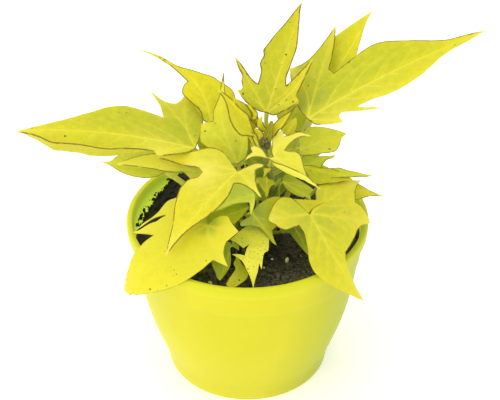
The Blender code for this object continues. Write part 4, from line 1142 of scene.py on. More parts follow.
SMALL_LEAVES = {         # leaves too small or too hidden for the frame: they only fill the bush
    "young_second": Blade(joint=(4.4, 3.5, 146.8), tip=(-7.1, 4, 164.8), **FACING_FRONT, fold=(10, 10),
        left=[(0, 1.5), (2, 2.5), (8.5, 2), (16, 2)],
        right=[(-0.5, 1), (1.5, 1.5), (3.5, 1.5), (6, 1.5), (8, 2.5), (10.5, 3), (14, 3), (16, 2.5),
            (18, 1.5), (20, 0.5)]),
    "young_third": Blade(joint=(3.8, 2.5, 151.5), tip=(-0.5, 3, 161.1), **FACING_FRONT, fold=(40, 20),
        left=[(2, 1), (4, -0.5), (7, -0.5), (9, -0.5)],
        right=[(0.5, 1), (2, 2.5), (4, 3.5), (7, 2.5), (9.5, 1.5)]),
    "young_fourth": Blade(joint=(8.6, 2, 145), tip=(7.3, 3, 154.3), **FACING_FRONT, fold=(20, 20),
        left=[(2.5, 2.5), (4.5, 3.5), (7, 3), (8, 2.5), (8.5, 1)],
        right=[(2, 2), (3.5, 0.5), (6, 0), (8, 0)]),
    "young_fifth": Blade(joint=(7.8, -1, 142.7), tip=(3.1, 0, 147.8), **FACING_FRONT, fold=(20, 20),
        left=[(0.5, 1), (2, 2), (3, 1), (5, 0.5)],
        right=[(1, 2), (2.5, 2.5), (4.5, 2.5), (6, 2), (7, 1)]),
    "young_khaki": Blade(joint=(7, -2.5, 137.5), tip=(0, -2, 149.4), **FACING_FRONT, fold=(20, 20),
        left=[(1, 1.5), (3.5, 1.5), (6, 1), (9.5, 0.5)],
        right=[(3, 1), (6.5, 2), (9, 2.5), (11, 1), (12.5, 0.5)]),
    "young_sixth": Blade(joint=(4.7, -1, 136.5), tip=(0.4, 0, 145.4), **FACING_FRONT, fold=(10, 10),
        left=[(2, 2), (3.5, 1.5), (5.5, 1), (8, 0.5)],
        right=[(1, 1), (3.5, 1), (7, 0.5)]),
    "young_upright": Blade(joint=(9.6, -1.5, 141.2), tip=(12.4, 0.5, 153.1), **FACING_FRONT,
        fold=(40, 40),
        left=[(2.5, 2.5), (6, 3), (8.5, 2), (11, 1)],
        right=[(2.5, 3), (6, 3), (9.5, 2), (11.5, 1.5)]),
    "young_right": Blade(joint=(20.5, 6, 140.7), tip=(25.3, 8, 150), **FACING_FRONT, fold=(10, 10),
        stalk=("main_stem", 128, 0.35),
        left=[(0.4, 3.4), (2.5, 4.3), (5, 3.3), (8.5, 1.5)],
        right=[(1.5, 2.5), (5, 3), (8.5, 1.5)]),
    "shade_strip": Blade(joint=(-0.8, 7, 123.7), tip=(0.6, 7, 140.9), **FACING_FRONT,
        stalk=("left_stem", 111, 0.4),
        left=[(2.5, 1), (8, 0.5), (13, 0.5)],
        right=[(4, 3), (9, 2), (13.5, 1)]),
    "deep_left": Blade(joint=(9.8, 8, 117.3), tip=(-2.4, 8, 127.5), face=(0, -0.6, 1),
        stalk=("main_stem", 105, 0.5),
        left=[(1, 3.5), (6, 5), (11.5, 3.5)],
        right=[(2.5, 5), (8, 4.5), (13, 3)]),
    "deep_middle": Blade(joint=(17.3, 10, 119.2), tip=(5.6, 0, 103.4), face=(0, -0.6, 1),
        stalk=("main_stem", 107, 0.5),
        left=[(2.5, 7), (9.5, 10), (16.5, 7), (20.5, 3.5)],
        right=[(3, 6), (8.5, 8.5), (15.5, 7.5), (20.5, 3.5)]),
    "twist": Blade(joint=(10.2, -4, 126.5), tip=(8.2, -6, 122.2), face=(0, -0.8, 1),
        left=[(-1, 2), (1, 2), (2, 1), (4.5, 0.5)],
        right=[(1, 1.5), (2, 1), (3, 0.5)]),
    "crown_shade": Blade(joint=(27, 6, 132.6), tip=(19.4, 3, 132.8), face=(0, -0.6, 1),
        stalk=("main_stem", 119, 0.4),
        left=[(2, 2.5), (4.5, 2.5), (6, 1)],
        right=[(-1, 4), (1, 5), (4, 3.5), (6.5, 2)]),
    "behind_left": Blade(joint=(-19.5, 30, 114), tip=(-22, 34, 131), face=(0.1, -0.6, 1),
        stalk=("left_stem", 95, 0.6),
        left=[(0, 4), (5, 7), (11, 6), (15, 3)],
        right=[(0, 4), (5, 7), (11, 6), (15, 3)]),
    "right_lap": Blade(joint=(27.4, 3, 123), tip=(55.7, 1, 116), face=(0.1, -0.4, 1), rise=4, fall=4,
        left=[(5, 2), (11, 2), (16.5, 3), (21, 2.5), (24.5, 1.5)],
        right=[(4, 3.5), (7, 7.5), (11, 9), (15, 7.5), (23, 4)]),
    "front_right_lap": Blade(joint=(31.5, -25.8, 113.6), tip=(41.8, -16.5, 114.9),
        face=(0.07, -0.24, 1), rise=4, fall=4,
        left=[(-0.5, 4), (-0.5, 9), (-1, 13, TIP), (3, 9), (8, 4.5)],
        right=[(3.5, -0.9), (8, -0.8)]),
}
stalked = sum(1 for leaf in LEAVES.values() if leaf.stalk)
print("leaves:", len(LEAVES), "of which", stalked, "have a stalk; small ones:", len(SMALL_LEAVES))

# %% [markdown]
# ## Stem and stalk finishes
# Young vine stems are juicy and green, a little brown where an old leaf has left
# its scar, with fine lines running along them. The stalks are paler. One stalk
# that light falls on is painted paler still, as painted light, and the stem and
# the stalk that stand in deep shade are painted almost black, as painted shade.
# One function makes all these finishes from two tones and a share of brown. Each
# stretches a noise along the height, because the fibres inside a stem run that way.

# %% Make the stem finishes
STEM_BROWN = (0.12, 0.07, 0.03)
STEM_LOOKS = {           # dark tone, light tone, share of brown patches
    "stem_green": ((0.16, 0.22, 0.03), (0.34, 0.40, 0.06), 0.30),
    # painted shade: almost black, for a stem or stalk in deep shade
    "stem_painted_shade": ((0.022, 0.024, 0.010), (0.065, 0.066, 0.024), 0.25),
    "stalk_green": ((0.46, 0.50, 0.04), (0.78, 0.76, 0.09), 0.06),
    # painted light: paler, for a stalk that light falls on
    "stalk_painted_light": ((0.70, 0.76, 0.08), (0.95, 0.94, 0.16), 0.03),
    "stalk_olive": ((0.40, 0.43, 0.05), (0.60, 0.60, 0.08), 0.20),
    "stalk_brown": ((0.30, 0.24, 0.07), (0.48, 0.42, 0.11), 0.45),
}


def make_stem_finish(name, dark, light, brown_share):
    green = new_material(name)
    tree, shader = green.node_tree, shader_of(green)
    place = add_node(tree, "TexCoord").outputs["Object"]
    stretched = add_node(tree, "Mapping", Vector=place, Scale=(1.0, 1.0, 0.12))
    lines = add_node(tree, "TexNoise", Vector=stretched.outputs["Vector"], Scale=1800.0, Detail=2.0)
    tone = cloudy(tree, 140.0, 2.0, dark, light)
    streaked = mixed(tree, times(tree, lines.outputs["Fac"], 0.35), tone.outputs["Color"], dark)
    patches = cloudy(tree, 210.0, 5.0)
    base = mixed(tree, times(tree, patches.outputs["Mask"], brown_share), streaked, STEM_BROWN)
    grain = place_group(tree, FINE_GRAIN, Scale=2500.0, Depth=0.08 * MM, Strength=0.35)
    rough = plus(tree, times(tree, lines.outputs["Fac"], 0.2), 0.38)
    feed(tree, shader, Base_Color=base, Roughness=rough, Normal=grain.outputs["Normal"])
    feed(tree, shader, Subsurface_Weight=0.15, Subsurface_Scale=0.0015, Subsurface_Radius=(1.0, 0.9, 0.2))
    return green


stem_finishes = {name: make_stem_finish(name, *look) for name, look in STEM_LOOKS.items()}
print("materials:", *stem_finishes)

# %% [markdown]
# ## Stems
# A stem is a slightly crooked tube that thins upwards, with a swelling and a
# ridge, the node, wherever a stalk leaves it. It is drawn up its line ring by
# ring, as the pot was. That gives every ring its own width, which a plain bent
# tube can't have.

# %% Draw the stems out ring by ring
STEMS = {                # centre line from the socket up, radius at the foot and at the top, all in mm
    "main_stem": ([(13, 0, 68), (13, 0, 82), (12, 1, 96), (13, -1, 110), (11, 0, 124), (9, 0, 137)],
                  2.4, 1.3),
    "left_stem": ([(-6, -2, 68), (-6, -2, 82), (-4, -3, 94), (-6, -1, 106), (-5, -2, 119)], 2.0, 1.1),
    "side_shoot": ([(-6, -33, 69), (-6, -33, 82), (-7, -34, 100)], 1.3, 0.9),
}
STEM_SIDES = 20
STEM_STEP = 0.8
BLUR = 3.0               # how far above and below a place the line is evened out
CREST_HEIGHT, CREST_SHARE = 0.4, 0.55   # of the small ring that rounds the top off
NODE_SWELLING = 0.35     # share that a node adds to the radius
NODE_LENGTH = 1.6


def stem_at(name, height):
    """Centre, direction and radius of a stem at a height, as the frame has them."""
    line, thick, thin = STEMS[name]
    for a, b in zip(line, line[1:]):
        if height <= b[2]:
            break
    axis = (Vector(b) - Vector(a)).normalized()
    centre = Vector(a).lerp(Vector(b), (height - a[2]) / (b[2] - a[2]))
    whole = (height - line[0][2]) / (line[-1][2] - line[0][2])
    return centre, axis, thick + (thin - thick) * whole


def stem_centre(name, height):
    """A rounder line through the same points: the mean of the line a little below and above."""
    line = STEMS[name][0]
    steps = (-BLUR, -BLUR / 2, 0, BLUR / 2, BLUR)
    heights = [min(max(height + step, line[0][2]), line[-1][2]) for step in steps]
    middle = sum((stem_at(name, h)[0] for h in heights), Vector()) / len(heights)
    return Vector((middle.x, middle.y, height))


def stem_radius(name, height, nodes):
    radius = stem_at(name, height)[2]
    swell = sum(math.exp(-((height - node) / NODE_LENGTH) ** 2) for node in nodes)
    return radius * (1 + NODE_SWELLING * min(swell, 1.2))


def draw_stem(name, nodes):
    """Draws the stem up its line, and ends it with one small ring just above the top."""
    bottom, top = STEMS[name][0][0][2], STEMS[name][0][-1][2]
    steps = round((top - bottom) / STEM_STEP)
    heights = [bottom + (top - bottom) * i / steps for i in range(steps + 1)]
    rings = [(stem_centre(name, height), stem_radius(name, height, nodes)) for height in heights]
    crest = top + CREST_HEIGHT
    rings.append((stem_centre(name, crest), stem_radius(name, crest, nodes) * CREST_SHARE))
    return extrude_rings(rings, STEM_SIDES)


for stem_name in STEMS:
    node_heights = [leaf.stalk[1] for leaf in LEAVES.values() if leaf.stalk and leaf.stalk[0] == stem_name]
    stem = draw_stem(stem_name, node_heights)
    # the side shoot stands in deep shade, so it gets the painted shade finish
    finish = stem_finishes["stem_painted_shade" if stem_name == "side_shoot" else "stem_green"]
    finish_piece(stem, "green_" + stem_name, [finish], [stem_name], smooth=50)
    print(stem_name, "has", len(node_heights), "nodes and", len(stem.data.polygons), "faces")

# %% [markdown]
# ## Stalks
# A leaf stalk leaves the stem almost square, from a swollen foot, bends up and
# meets the underside of the blade at its notch. It doesn't stop there: it runs
# on under the blade as the midrib, thinner and thinner. A Bezier curve of three
# points has just that shape. It is subdivided, so that more points can carry a
# thickness, given a round bevel, and turned into a mesh. Some of the small
# leaves get such a stalk too.

# %% Bend the stalks
CAP_TILT = 0.35          # share of its radius that a stalk's end stands off the stem
GAP = 0.3                # between a stalk and the pieces at its ends, in the frame
BLADE_THICKNESS = 0.4    # of the frame's blades
FOOT_SWELLING = 0.55     # share that the foot adds to a stalk's radius
RUN_UNDER_BLADE = 0.22   # share of the midrib that the stalk is still seen under
FLAT_ARRIVALS = {"left_low": 0.45}      # how steeply a stalk reaches its blade, if not at 45 degrees
# left_low's stalk gets painted light, curled_small's gets painted shade
STALK_FINISHES = {"low_back_left": "stalk_brown", "left_low": "stalk_painted_light", "far_right": "stalk_olive",
                  "curled_small": "stem_painted_shade"}


def at_midrib(leaf, along):
    """Place, direction and way up of the midrib at a distance from the joint."""
    t = np.interp([along], leaf.lengths, leaf.shares)
    place, up = leaf.bend(np.array([[along, 0.0]]))
    return Vector(place[0]), Vector(leaf.slope(t)[0]), Vector(up[0])


def stalk_ends(leaf, steepness):
    """The stalk's points with their handles: stem, joint, and where it fades under the midrib."""
    stem_name, height, radius = leaf.stalk
    centre, axis, stem_thick = stem_at(stem_name, height)
    joint, ahead, up = at_midrib(leaf, 0)
    droop = math.tan(math.radians(max(0, -min(leaf.fold))))
    end = joint - up * (BLADE_THICKNESS / 2 + GAP + radius * (1 + droop))
    way = end - centre
    way = (way - way.dot(axis) * axis).normalized()
    start = centre + way * (stem_thick + GAP + radius * CAP_TILT)
    reach = (end - start).length
    arrive = (ahead + Vector((0, 0, steepness))).normalized()
    root = centre + way * stem_thick * 0.4
    run = leaf.length * RUN_UNDER_BLADE
    fade, fade_ahead, fade_up = at_midrib(leaf, run)
    meet = joint - up * (radius * 1.12 + 0.15)
    last = fade - fade_up * (radius * 0.17 + 0.25)
    return [(root, root - way, start + way * reach * 0.3),
            (meet, end - arrive * reach * 0.35, meet + ahead * run * 0.3),
            (last, last - fade_ahead * run * 0.3, last + fade_ahead)]


def stalk_radius(share, radius):
    """Radius at a share of the way: the first half is the stalk, the second runs under the blade."""
    if share <= 0.5:
        foot = FOOT_SWELLING * math.exp(-(share / 0.07) ** 2)
        joint = 0.12 * math.exp(-((share - 0.5) / 0.05) ** 2)
        return radius * (1 + foot + joint)
    return radius * (1.12 - 0.95 * ((share - 0.5) / 0.5) ** 0.7)


def bend_stalk(leaf, steepness):
    pick_none()
    bpy.ops.curve.primitive_bezier_curve_add(enter_editmode=False)
    stalk = bpy.context.object
    curve = stalk.data
    spline = curve.splines[0]
    spline.bezier_points.add(1)
    for point, (place, before, after) in zip(spline.bezier_points, stalk_ends(leaf, steepness)):
        point.handle_left_type = point.handle_right_type = "FREE"
        point.co, point.handle_left, point.handle_right = place * MM, before * MM, after * MM
    stalk.location = (0, 0, 0)
    bpy.ops.object.mode_set(mode="EDIT")
    bpy.ops.curve.select_all(action="SELECT")
    bpy.ops.curve.subdivide(number_cuts=9)
    bpy.ops.object.mode_set(mode="OBJECT")
    points = curve.splines[0].bezier_points
    for i, point in enumerate(points):
        point.radius = stalk_radius(i / (len(points) - 1), leaf.stalk[2])
    curve.resolution_u = 3
    curve.bevel_depth = MM
    curve.bevel_resolution = 4
    curve.use_fill_caps = True
    bpy.ops.object.convert(target="MESH")
    bpy.ops.object.mode_set(mode="EDIT")
    bpy.ops.mesh.select_all(action="SELECT")
    bpy.ops.mesh.remove_doubles(threshold=0.001 * MM)
    bpy.ops.mesh.normals_make_consistent(inside=False)
    bpy.ops.object.mode_set(mode="OBJECT")
    return stalk


for name, leaf in {**LEAVES, **SMALL_LEAVES}.items():
    if leaf.stalk:
        stalk = bend_stalk(leaf, FLAT_ARRIVALS.get(name, 1.0))
        finish = stem_finishes[STALK_FINISHES.get(name, "stalk_green")]
        stands_for = ["stalk_" + name] if name in LEAVES else []
        finish_piece(stalk, "petiole_" + name, [finish], stands_for, smooth=50)
print("stalks bent")

# %% [markdown]
# ## The leaf finishes
# The blades are chartreuse: yellow, greener near the stalk and on some leaves,
# duller when they are old or dry, creamy at the tips. The leaves deep in the bush
# are painted a darker green, and a shaded lobe and a turned-up margin are painted
# duller: all of that is painted shade. Leaves in the shade of others get a cream
# wash and a faint glow, painted light that stands in for light coming through
# the leaves above. The veins are paler than the blade, the margin has a thin
# reddish brown line, and dark specks, a few of them large and most of them tiny,
# mark bites. The underside is creamier and duller. Distances to the veins and to
# the margin are kept on the mesh as attributes, and a group turns them into crisp
# lines. The finer net of veins is a Voronoi pattern drawn on the flat leaf's UV
# map, so it follows every bend of the blade.

# %% Make the leaf finishes
LEAF_YELLOW = (0.765, 0.682, 0.005)
LEAF_GREEN = (0.455, 0.505, 0.014)
# painted shade: the dark green that the greenest values reach, for leaves deep in the bush
LEAF_SHADE = (0.22, 0.34, 0.045)
LEAF_OLIVE = (0.34, 0.27, 0.008)
LEAF_CREAM = (0.97, 0.84, 0.16)
VEIN_PALE = (0.86, 0.81, 0.09)
UNDER_YELLOW = (0.74, 0.70, 0.035)
UNDER_GREEN = (0.52, 0.60, 0.05)
# painted shade on the underside, as LEAF_SHADE is on the upper side
UNDER_SHADE = (0.30, 0.44, 0.05)
UNDER_VEIN = (0.94, 0.90, 0.25)
MARGIN_BROWN = (0.17, 0.10, 0.012)
SPECK_BROWN = (0.07, 0.05, 0.01)
PAINTED_GLOW_THROUGH_LEAVES = (0.55, 1.0, 0.16)    # painted glow, for light that has come through the leaves above
MOST_LARGE = 0.13        # share of the cells that may have a large speck
TINY_FROM = 0.06         # a leaf with more specks than this gets tiny ones as well


def build_leaf_marks():
    """Turns the mesh's distances and the flat leaf's map into masks for the lines and specks."""
    group, given, wanted = new_group(
        "leaf_marks",
        [("Map", "Vector", None), ("Rib", "Float", 0), ("Branch", "Float", 0), ("Edge", "Float", 0),
         ("Speckle", "Float", 0)],
        [("Veins", "Float"), ("Net", "Float"), ("Margin", "Float"), ("Specks", "Float"), ("Mottle", "Float")])
    rib = ramped(group, given["Rib"], 0.28, 0.74)
    branch = times(group, ramped(group, given["Branch"], 0.36, 0.78), 0.66)
    group.links.new(maths(group, "MAXIMUM", rib, branch), wanted["Veins"])
    net = add_node(group, "TexVoronoi", feature="DISTANCE_TO_EDGE", Vector=given["Map"], Scale=62.0)
    group.links.new(flipped(group, ramped(group, net.outputs["Distance"], 0.0, 0.10)), wanted["Net"])
    mottle = add_node(group, "TexNoise", Vector=given["Map"], Scale=24.0, Detail=4.0, Roughness=0.6)
    group.links.new(mottle.outputs["Fac"], wanted["Mottle"])

    line = ramped(group, given["Edge"], 0.36, 0.60)
    uneven = add_node(group, "TexNoise", Vector=given["Map"], Scale=18.0, Detail=1.0)
    group.links.new(times(group, line, ramped(group, uneven.outputs["Fac"], 0.18, 0.42)), wanted["Margin"])

    # A cell's random colour says whether it has a speck, and for a large one also its size.
    spots = add_node(group, "TexVoronoi", Vector=given["Map"], Scale=54.0)
    parts = add_node(group, "SeparateXYZ", Vector=spots.outputs["Color"])
    size = plus(group, times(group, maths(group, "POWER", parts.outputs["Y"], 3.0), 0.24), 0.20)
    large = maths(group, "LESS_THAN", spots.outputs["Distance"], size)
    large_share = maths(group, "MINIMUM", given["Speckle"], MOST_LARGE)
    has_large = maths(group, "LESS_THAN", parts.outputs["X"], large_share)
    dots = add_node(group, "TexVoronoi", Vector=given["Map"], Scale=115.0)
    dot_parts = add_node(group, "SeparateXYZ", Vector=dots.outputs["Color"])
    tiny = maths(group, "LESS_THAN", dots.outputs["Distance"], 0.26)
    tiny_share = maths(group, "SUBTRACT", given["Speckle"], TINY_FROM)
    has_tiny = maths(group, "LESS_THAN", dot_parts.outputs["X"], tiny_share)
    specks = maths(group, "MAXIMUM", times(group, large, has_large), times(group, tiny, has_tiny))
    group.links.new(specks, wanted["Specks"])
    return group


LEAF_MARKS = build_leaf_marks()


def attribute(tree, name):
    return add_node(tree, "Attribute", attribute_name=name).outputs["Fac"]


def make_leaf_finish(name, light, green, shade, veins, vein_share, rough):
    leaf_skin = new_material(name)
    tree, shader = leaf_skin.node_tree, shader_of(leaf_skin)
    flat_map = add_node(tree, "UVMap", uv_map="flat_leaf").outputs["UV"]
    marks = place_group(tree, LEAF_MARKS, Map=flat_map, Rib=attribute(tree, "rib"),
                        Branch=attribute(tree, "branch"), Edge=attribute(tree, "edge"),
                        Speckle=attribute(tree, "speckle"))
    clouds = times(tree, maths(tree, "SUBTRACT", marks.outputs["Mottle"], 0.5), 0.8)
    greenness = plus(tree, attribute(tree, "green"), clouds)
    base = mixed(tree, ramped(tree, greenness, 0.0, 0.65), light, green)
    # painted shade: very green values move on to the shade colour
    base = mixed(tree, ramped(tree, greenness, 0.65, 1.3), base, shade)
    # the leaf's own olive tone, plus painted shade on shaded lobes and turned-up margins
    base = mixed(tree, attribute(tree, "dull"), base, LEAF_OLIVE)
    # cream at the tips, and a cream wash that is painted light on leaves in the shade of others
    base = mixed(tree, attribute(tree, "cream_and_painted_light"), base, LEAF_CREAM)
    base = mixed(tree, times(tree, marks.outputs["Net"], 0.12), base, veins)
    lines = times(tree, marks.outputs["Veins"], vein_share)
    base = mixed(tree, times(tree, lines, attribute(tree, "faint")), base, veins)
    base = mixed(tree, times(tree, marks.outputs["Margin"], 0.85), base, MARGIN_BROWN)
    base = mixed(tree, times(tree, marks.outputs["Specks"], 0.75), base, SPECK_BROWN)
    grain = place_group(tree, FINE_GRAIN, Scale=2600.0, Depth=0.03 * MM, Strength=0.25)
    raised = add_node(tree, "Bump", Height=marks.outputs["Net"], Distance=0.06 * MM, Strength=0.35,
                      Normal=grain.outputs["Normal"])
    uneven = plus(tree, times(tree, marks.outputs["Mottle"], 0.15), rough)
    feed(tree, shader, Base_Color=base, Roughness=uneven, Normal=raised.outputs["Normal"])
    feed(tree, shader, Subsurface_Weight=0.30, Subsurface_Scale=0.0012, Subsurface_Radius=(1.0, 1.0, 0.15),
         Specular_IOR_Level=0.24)
    # painted glow: light that came through the leaves above, laid on as emission
    feed(tree, shader, Emission_Color=(*PAINTED_GLOW_THROUGH_LEAVES, 1), Emission_Strength=attribute(tree, "painted_glow"))
    return leaf_skin


leaf_upper = make_leaf_finish("leaf_upper", LEAF_YELLOW, LEAF_GREEN, LEAF_SHADE, VEIN_PALE, 0.62, 0.40)
leaf_under = make_leaf_finish(
    "leaf_underside", UNDER_YELLOW, UNDER_GREEN, UNDER_SHADE, UNDER_VEIN, 0.85, 0.52)
print("materials:", leaf_upper.name, leaf_under.name)

# %% [markdown]
# ## Veins
# Veins make a leaf readable. From the joint, a main vein runs to the tip and one
# into each lobe. Smaller ones leave the main veins a little under fifty degrees
# and bend forward until they near the margin. They are grown here as lines on the
# flat leaf: a lobe's vein tries a few bows until one stays well inside the
# outline, and a side vein walks in short steps and stops before it meets another.

# %% Grow the veins
LOBE_REACH = 10          # a lobe whose tip is nearer to the joint has no main vein
VEIN_STEP = 1.1
SIDE_ANGLE = 46          # degrees between a main vein and the side veins that leave it
SIDE_STEP = 14           # between two side veins, on a large leaf
FORK = math.radians(13)  # a lobe's vein that would run closer to another than this is left out


def flat_tips(leaf):
    """The pointed ends of the lobes and teeth, without the leaf's own tip."""
    return [(knot[0], knot[1] if half == LEFT else -knot[1])
            for half in (LEFT, RIGHT) for knot in leaf.halves[half] if knot[-1] == TIP]


def turn_between(heading, other):
    """The angle from other to heading, at most half a turn to either side."""
    return (heading - other + math.pi) % math.tau - math.pi


def distances(points, starts, stops):
    """Distance from each point to the nearest segment, and which segment that is."""
    way = stops - starts
    size = np.maximum((way ** 2).sum(1), 1e-12)
    best, which = np.full(len(points), 1e9), np.zeros(len(points), int)
    for low in range(0, len(starts), 200):
        part = slice(low, low + 200)
        rel = points[:, None, :] - starts[None, part]
        t = np.clip((rel * way[None, part]).sum(2) / size[None, part], 0, 1)
        gap = np.linalg.norm(rel - t[..., None] * way[None, part], axis=2)
        near = gap.argmin(1)
        closest = gap[np.arange(len(points)), near]
        better = closest < best
        best[better], which[better] = closest[better], near[better] + low
    return best, which


def inside_ring(points, ring):
    """True for each point inside a closed outline."""
    x, y = points[:, 0, None], points[:, 1, None]
    a, b = ring, np.roll(ring, -1, axis=0)
    crosses = (a[None, :, 1] > y) != (b[None, :, 1] > y)
    height = np.where(b[:, 1] == a[:, 1], 1e-12, b[:, 1] - a[:, 1])
    where = a[None, :, 0] + (y - a[None, :, 1]) / height[None] * (b - a)[None, :, 0]
    return (crosses & (x < where)).sum(1) % 2 == 1


def clearance(points, ring):
    """Distance to the margin, negative outside it."""
    points = np.atleast_2d(points)
    gap = distances(points, ring, np.roll(ring, -1, axis=0))[0]
    return np.where(inside_ring(points, ring), gap, -gap)


def curve_through(start, middle, stop):
    """A line in short steps that bends from start over a middle handle to stop."""
    count = max(3, round(np.linalg.norm(stop - start) / VEIN_STEP))
    t = np.linspace(0, 1, count + 1)[:, None]
    return (1 - t) ** 2 * start + 2 * t * (1 - t) * middle + t ** 2 * stop


def lobe_vein(leaf, target, ring):
    """The straightest line to a lobe's tip that stays inside, starting as near the joint as it can."""
    best, best_room = None, -9
    for share in (0, 0.08, 0.16, 0.26, 0.36):
        start = np.array([share * leaf.length, leaf.sway * math.sin(math.pi * share)])
        way = target - start
        across = np.array([-way[1], way[0]])
        for bow in (0, 0.08, -0.08, 0.16, -0.16, 0.26, -0.26):
            line = curve_through(start, start + way / 2 + across * bow, target)
            room = clearance(line[2:-2], ring).min() if len(line) > 5 else 1
            if room > best_room + 0.4 + share * 6:
                best, best_room = line, room
        if best_room > 0.8:
            break
    return best if best_room > 0.2 else None


def main_veins(leaf, ring):
    """The midrib and the lobes' veins, each with how thick it starts and ends."""
    along = np.linspace(0, leaf.length - 1, max(4, round(leaf.length / VEIN_STEP)))
    midrib = np.stack([along, leaf.sway * np.sin(np.pi * along / leaf.length)], 1)
    veins = [(midrib, 1.0, 0.45)]
    tips = [np.array(tip, float) for tip in flat_tips(leaf) if math.hypot(*tip) > LOBE_REACH]
    for tip in sorted(tips, key=lambda p: -np.hypot(*p)):
        heading = math.atan2(tip[1], tip[0])
        taken = [math.atan2(line[-1][1], line[-1][0]) for line, _, _ in veins]
        if all(abs(turn_between(heading, other)) > FORK for other in taken):
            line = lobe_vein(leaf, tip * 0.95, ring)
            if line is not None:
                veins.append((line, 0.85, 0.40))
    return veins


def side_vein(start, heading, forward, ring, others):
    """Walks from a main vein, bending towards its direction, until the margin or another vein is near."""
    line = [start]
    for step in range(60):
        heading += turn_between(forward, heading) * 0.045
        ahead = line[-1] + VEIN_STEP * np.array([math.cos(heading), math.sin(heading)])
        if clearance(ahead, ring)[0] < 1.0:
            break
        if len(others[0]) and distances(ahead[None], *others)[0][0] < 1.3:
            break
        line.append(ahead)
    return np.array(line)


def side_veins(leaf, mains, ring):
    spacing = SIDE_STEP * min(1.0, max(0.3, leaf.length / 95))
    found = []
    for index, (line, thick, thin) in enumerate(mains):
        rest = [other for j, (other, _, _) in enumerate(mains) if j != index]
        starts = np.concatenate([r[:-1] for r in rest]) if rest else np.zeros((0, 2))
        stops = np.concatenate([r[1:] for r in rest]) if rest else np.zeros((0, 2))
        steps = np.concatenate([[0], np.cumsum(lengths_of(np.diff(line, axis=0)))])
        first = spacing * (0.6 if index == 0 else 1.3)
        for number, reach in enumerate(np.arange(first, steps[-1] * 0.88, spacing)):
            for side in (1, -1):
                place = reach + side * spacing * 0.18
                k = min(max(int(np.searchsorted(steps, place)), 1), len(line) - 1)
                forward = math.atan2(*(line[k] - line[k - 1])[::-1])
                heading = forward + side * math.radians(SIDE_ANGLE)
                vein = side_vein(line[k], heading, forward, ring, (starts, stops))
                if len(vein) > 3:
                    found.append((vein, 0.9 * (1 - 0.3 * reach / steps[-1]), 0.35))
    return found


print("vein makers ready")

# %% [markdown]
# ## Blades
# The flat leaf is cut into small triangles by a Delaunay triangulation, with
# the margin and every vein kept as edges, so that a groove can follow a vein
# exactly. The cut sheet is bent, its veins are sunk, the skin between them swells
# a little, and its margin waves. A Solidify modifier gives the sheet its
# thickness, more at the veins than between them, so the underside gets the raised
# ribs that a real leaf has. No two leaves of a plant look the same: one table
# says how green, specked, brown at the margin and creamy each one is, and how much
# painted shade and painted light it gets.

# %% Cut, bend and thicken the blades
BLADE_STEP = 0.95        # side of a triangle on a large leaf
RIB_THICKNESS = 0.85     # at the midrib
SKIN_SHARE = 0.45        # share of it that is left between the veins
GROOVE_DEPTH = 0.16      # how far a vein is sunk
SWELLING = 0.30          # how far the skin stands out between two veins
RIPPLE = 0.8             # how far the margin waves
RIB_WIDTH, BRANCH_WIDTH, EDGE_WIDTH = 0.95, 0.75, 0.9   # how far from each line its mark fades out
CREAM_FROM = 12          # tips nearer to the joint than this aren't creamy


@dataclass
class Look:
    """How one blade looks. Most of these are shares, and lengths are in mm."""
    green: float                 # how green it is, where 0 is yellow
    specks: float
    brown: float                 # how strong the brown line on its margin is
    cream: float                 # how creamy its tips are
    lean: float = 0              # how much greener the left half is
    veins: float = 1             # how clearly its veins show
    painted_light_wash: float = 0              # a cream wash all over, as painted light that lifts a leaf in the shade of others
    light: float = 0             # painted glow, for light that reaches it through the leaves above
    dull: float = 0              # how olive it is all over
    plain: int = -1              # a half that has hardly any brown line
    painted_glow_half: int = -1                # a half given a little more painted glow, for light from behind coming through
    joint: tuple = None          # green near the joint: how much, how far it reaches, how sharply it ends
    shaded: tuple = None         # a lobe painted greener and duller as painted shade: its half, how dark it is, how far from the joint
    fold: float = 0              # how much duller a turned-up margin is painted, as painted shade
    fade: float = 3.5            # how far from a tip the brown line begins


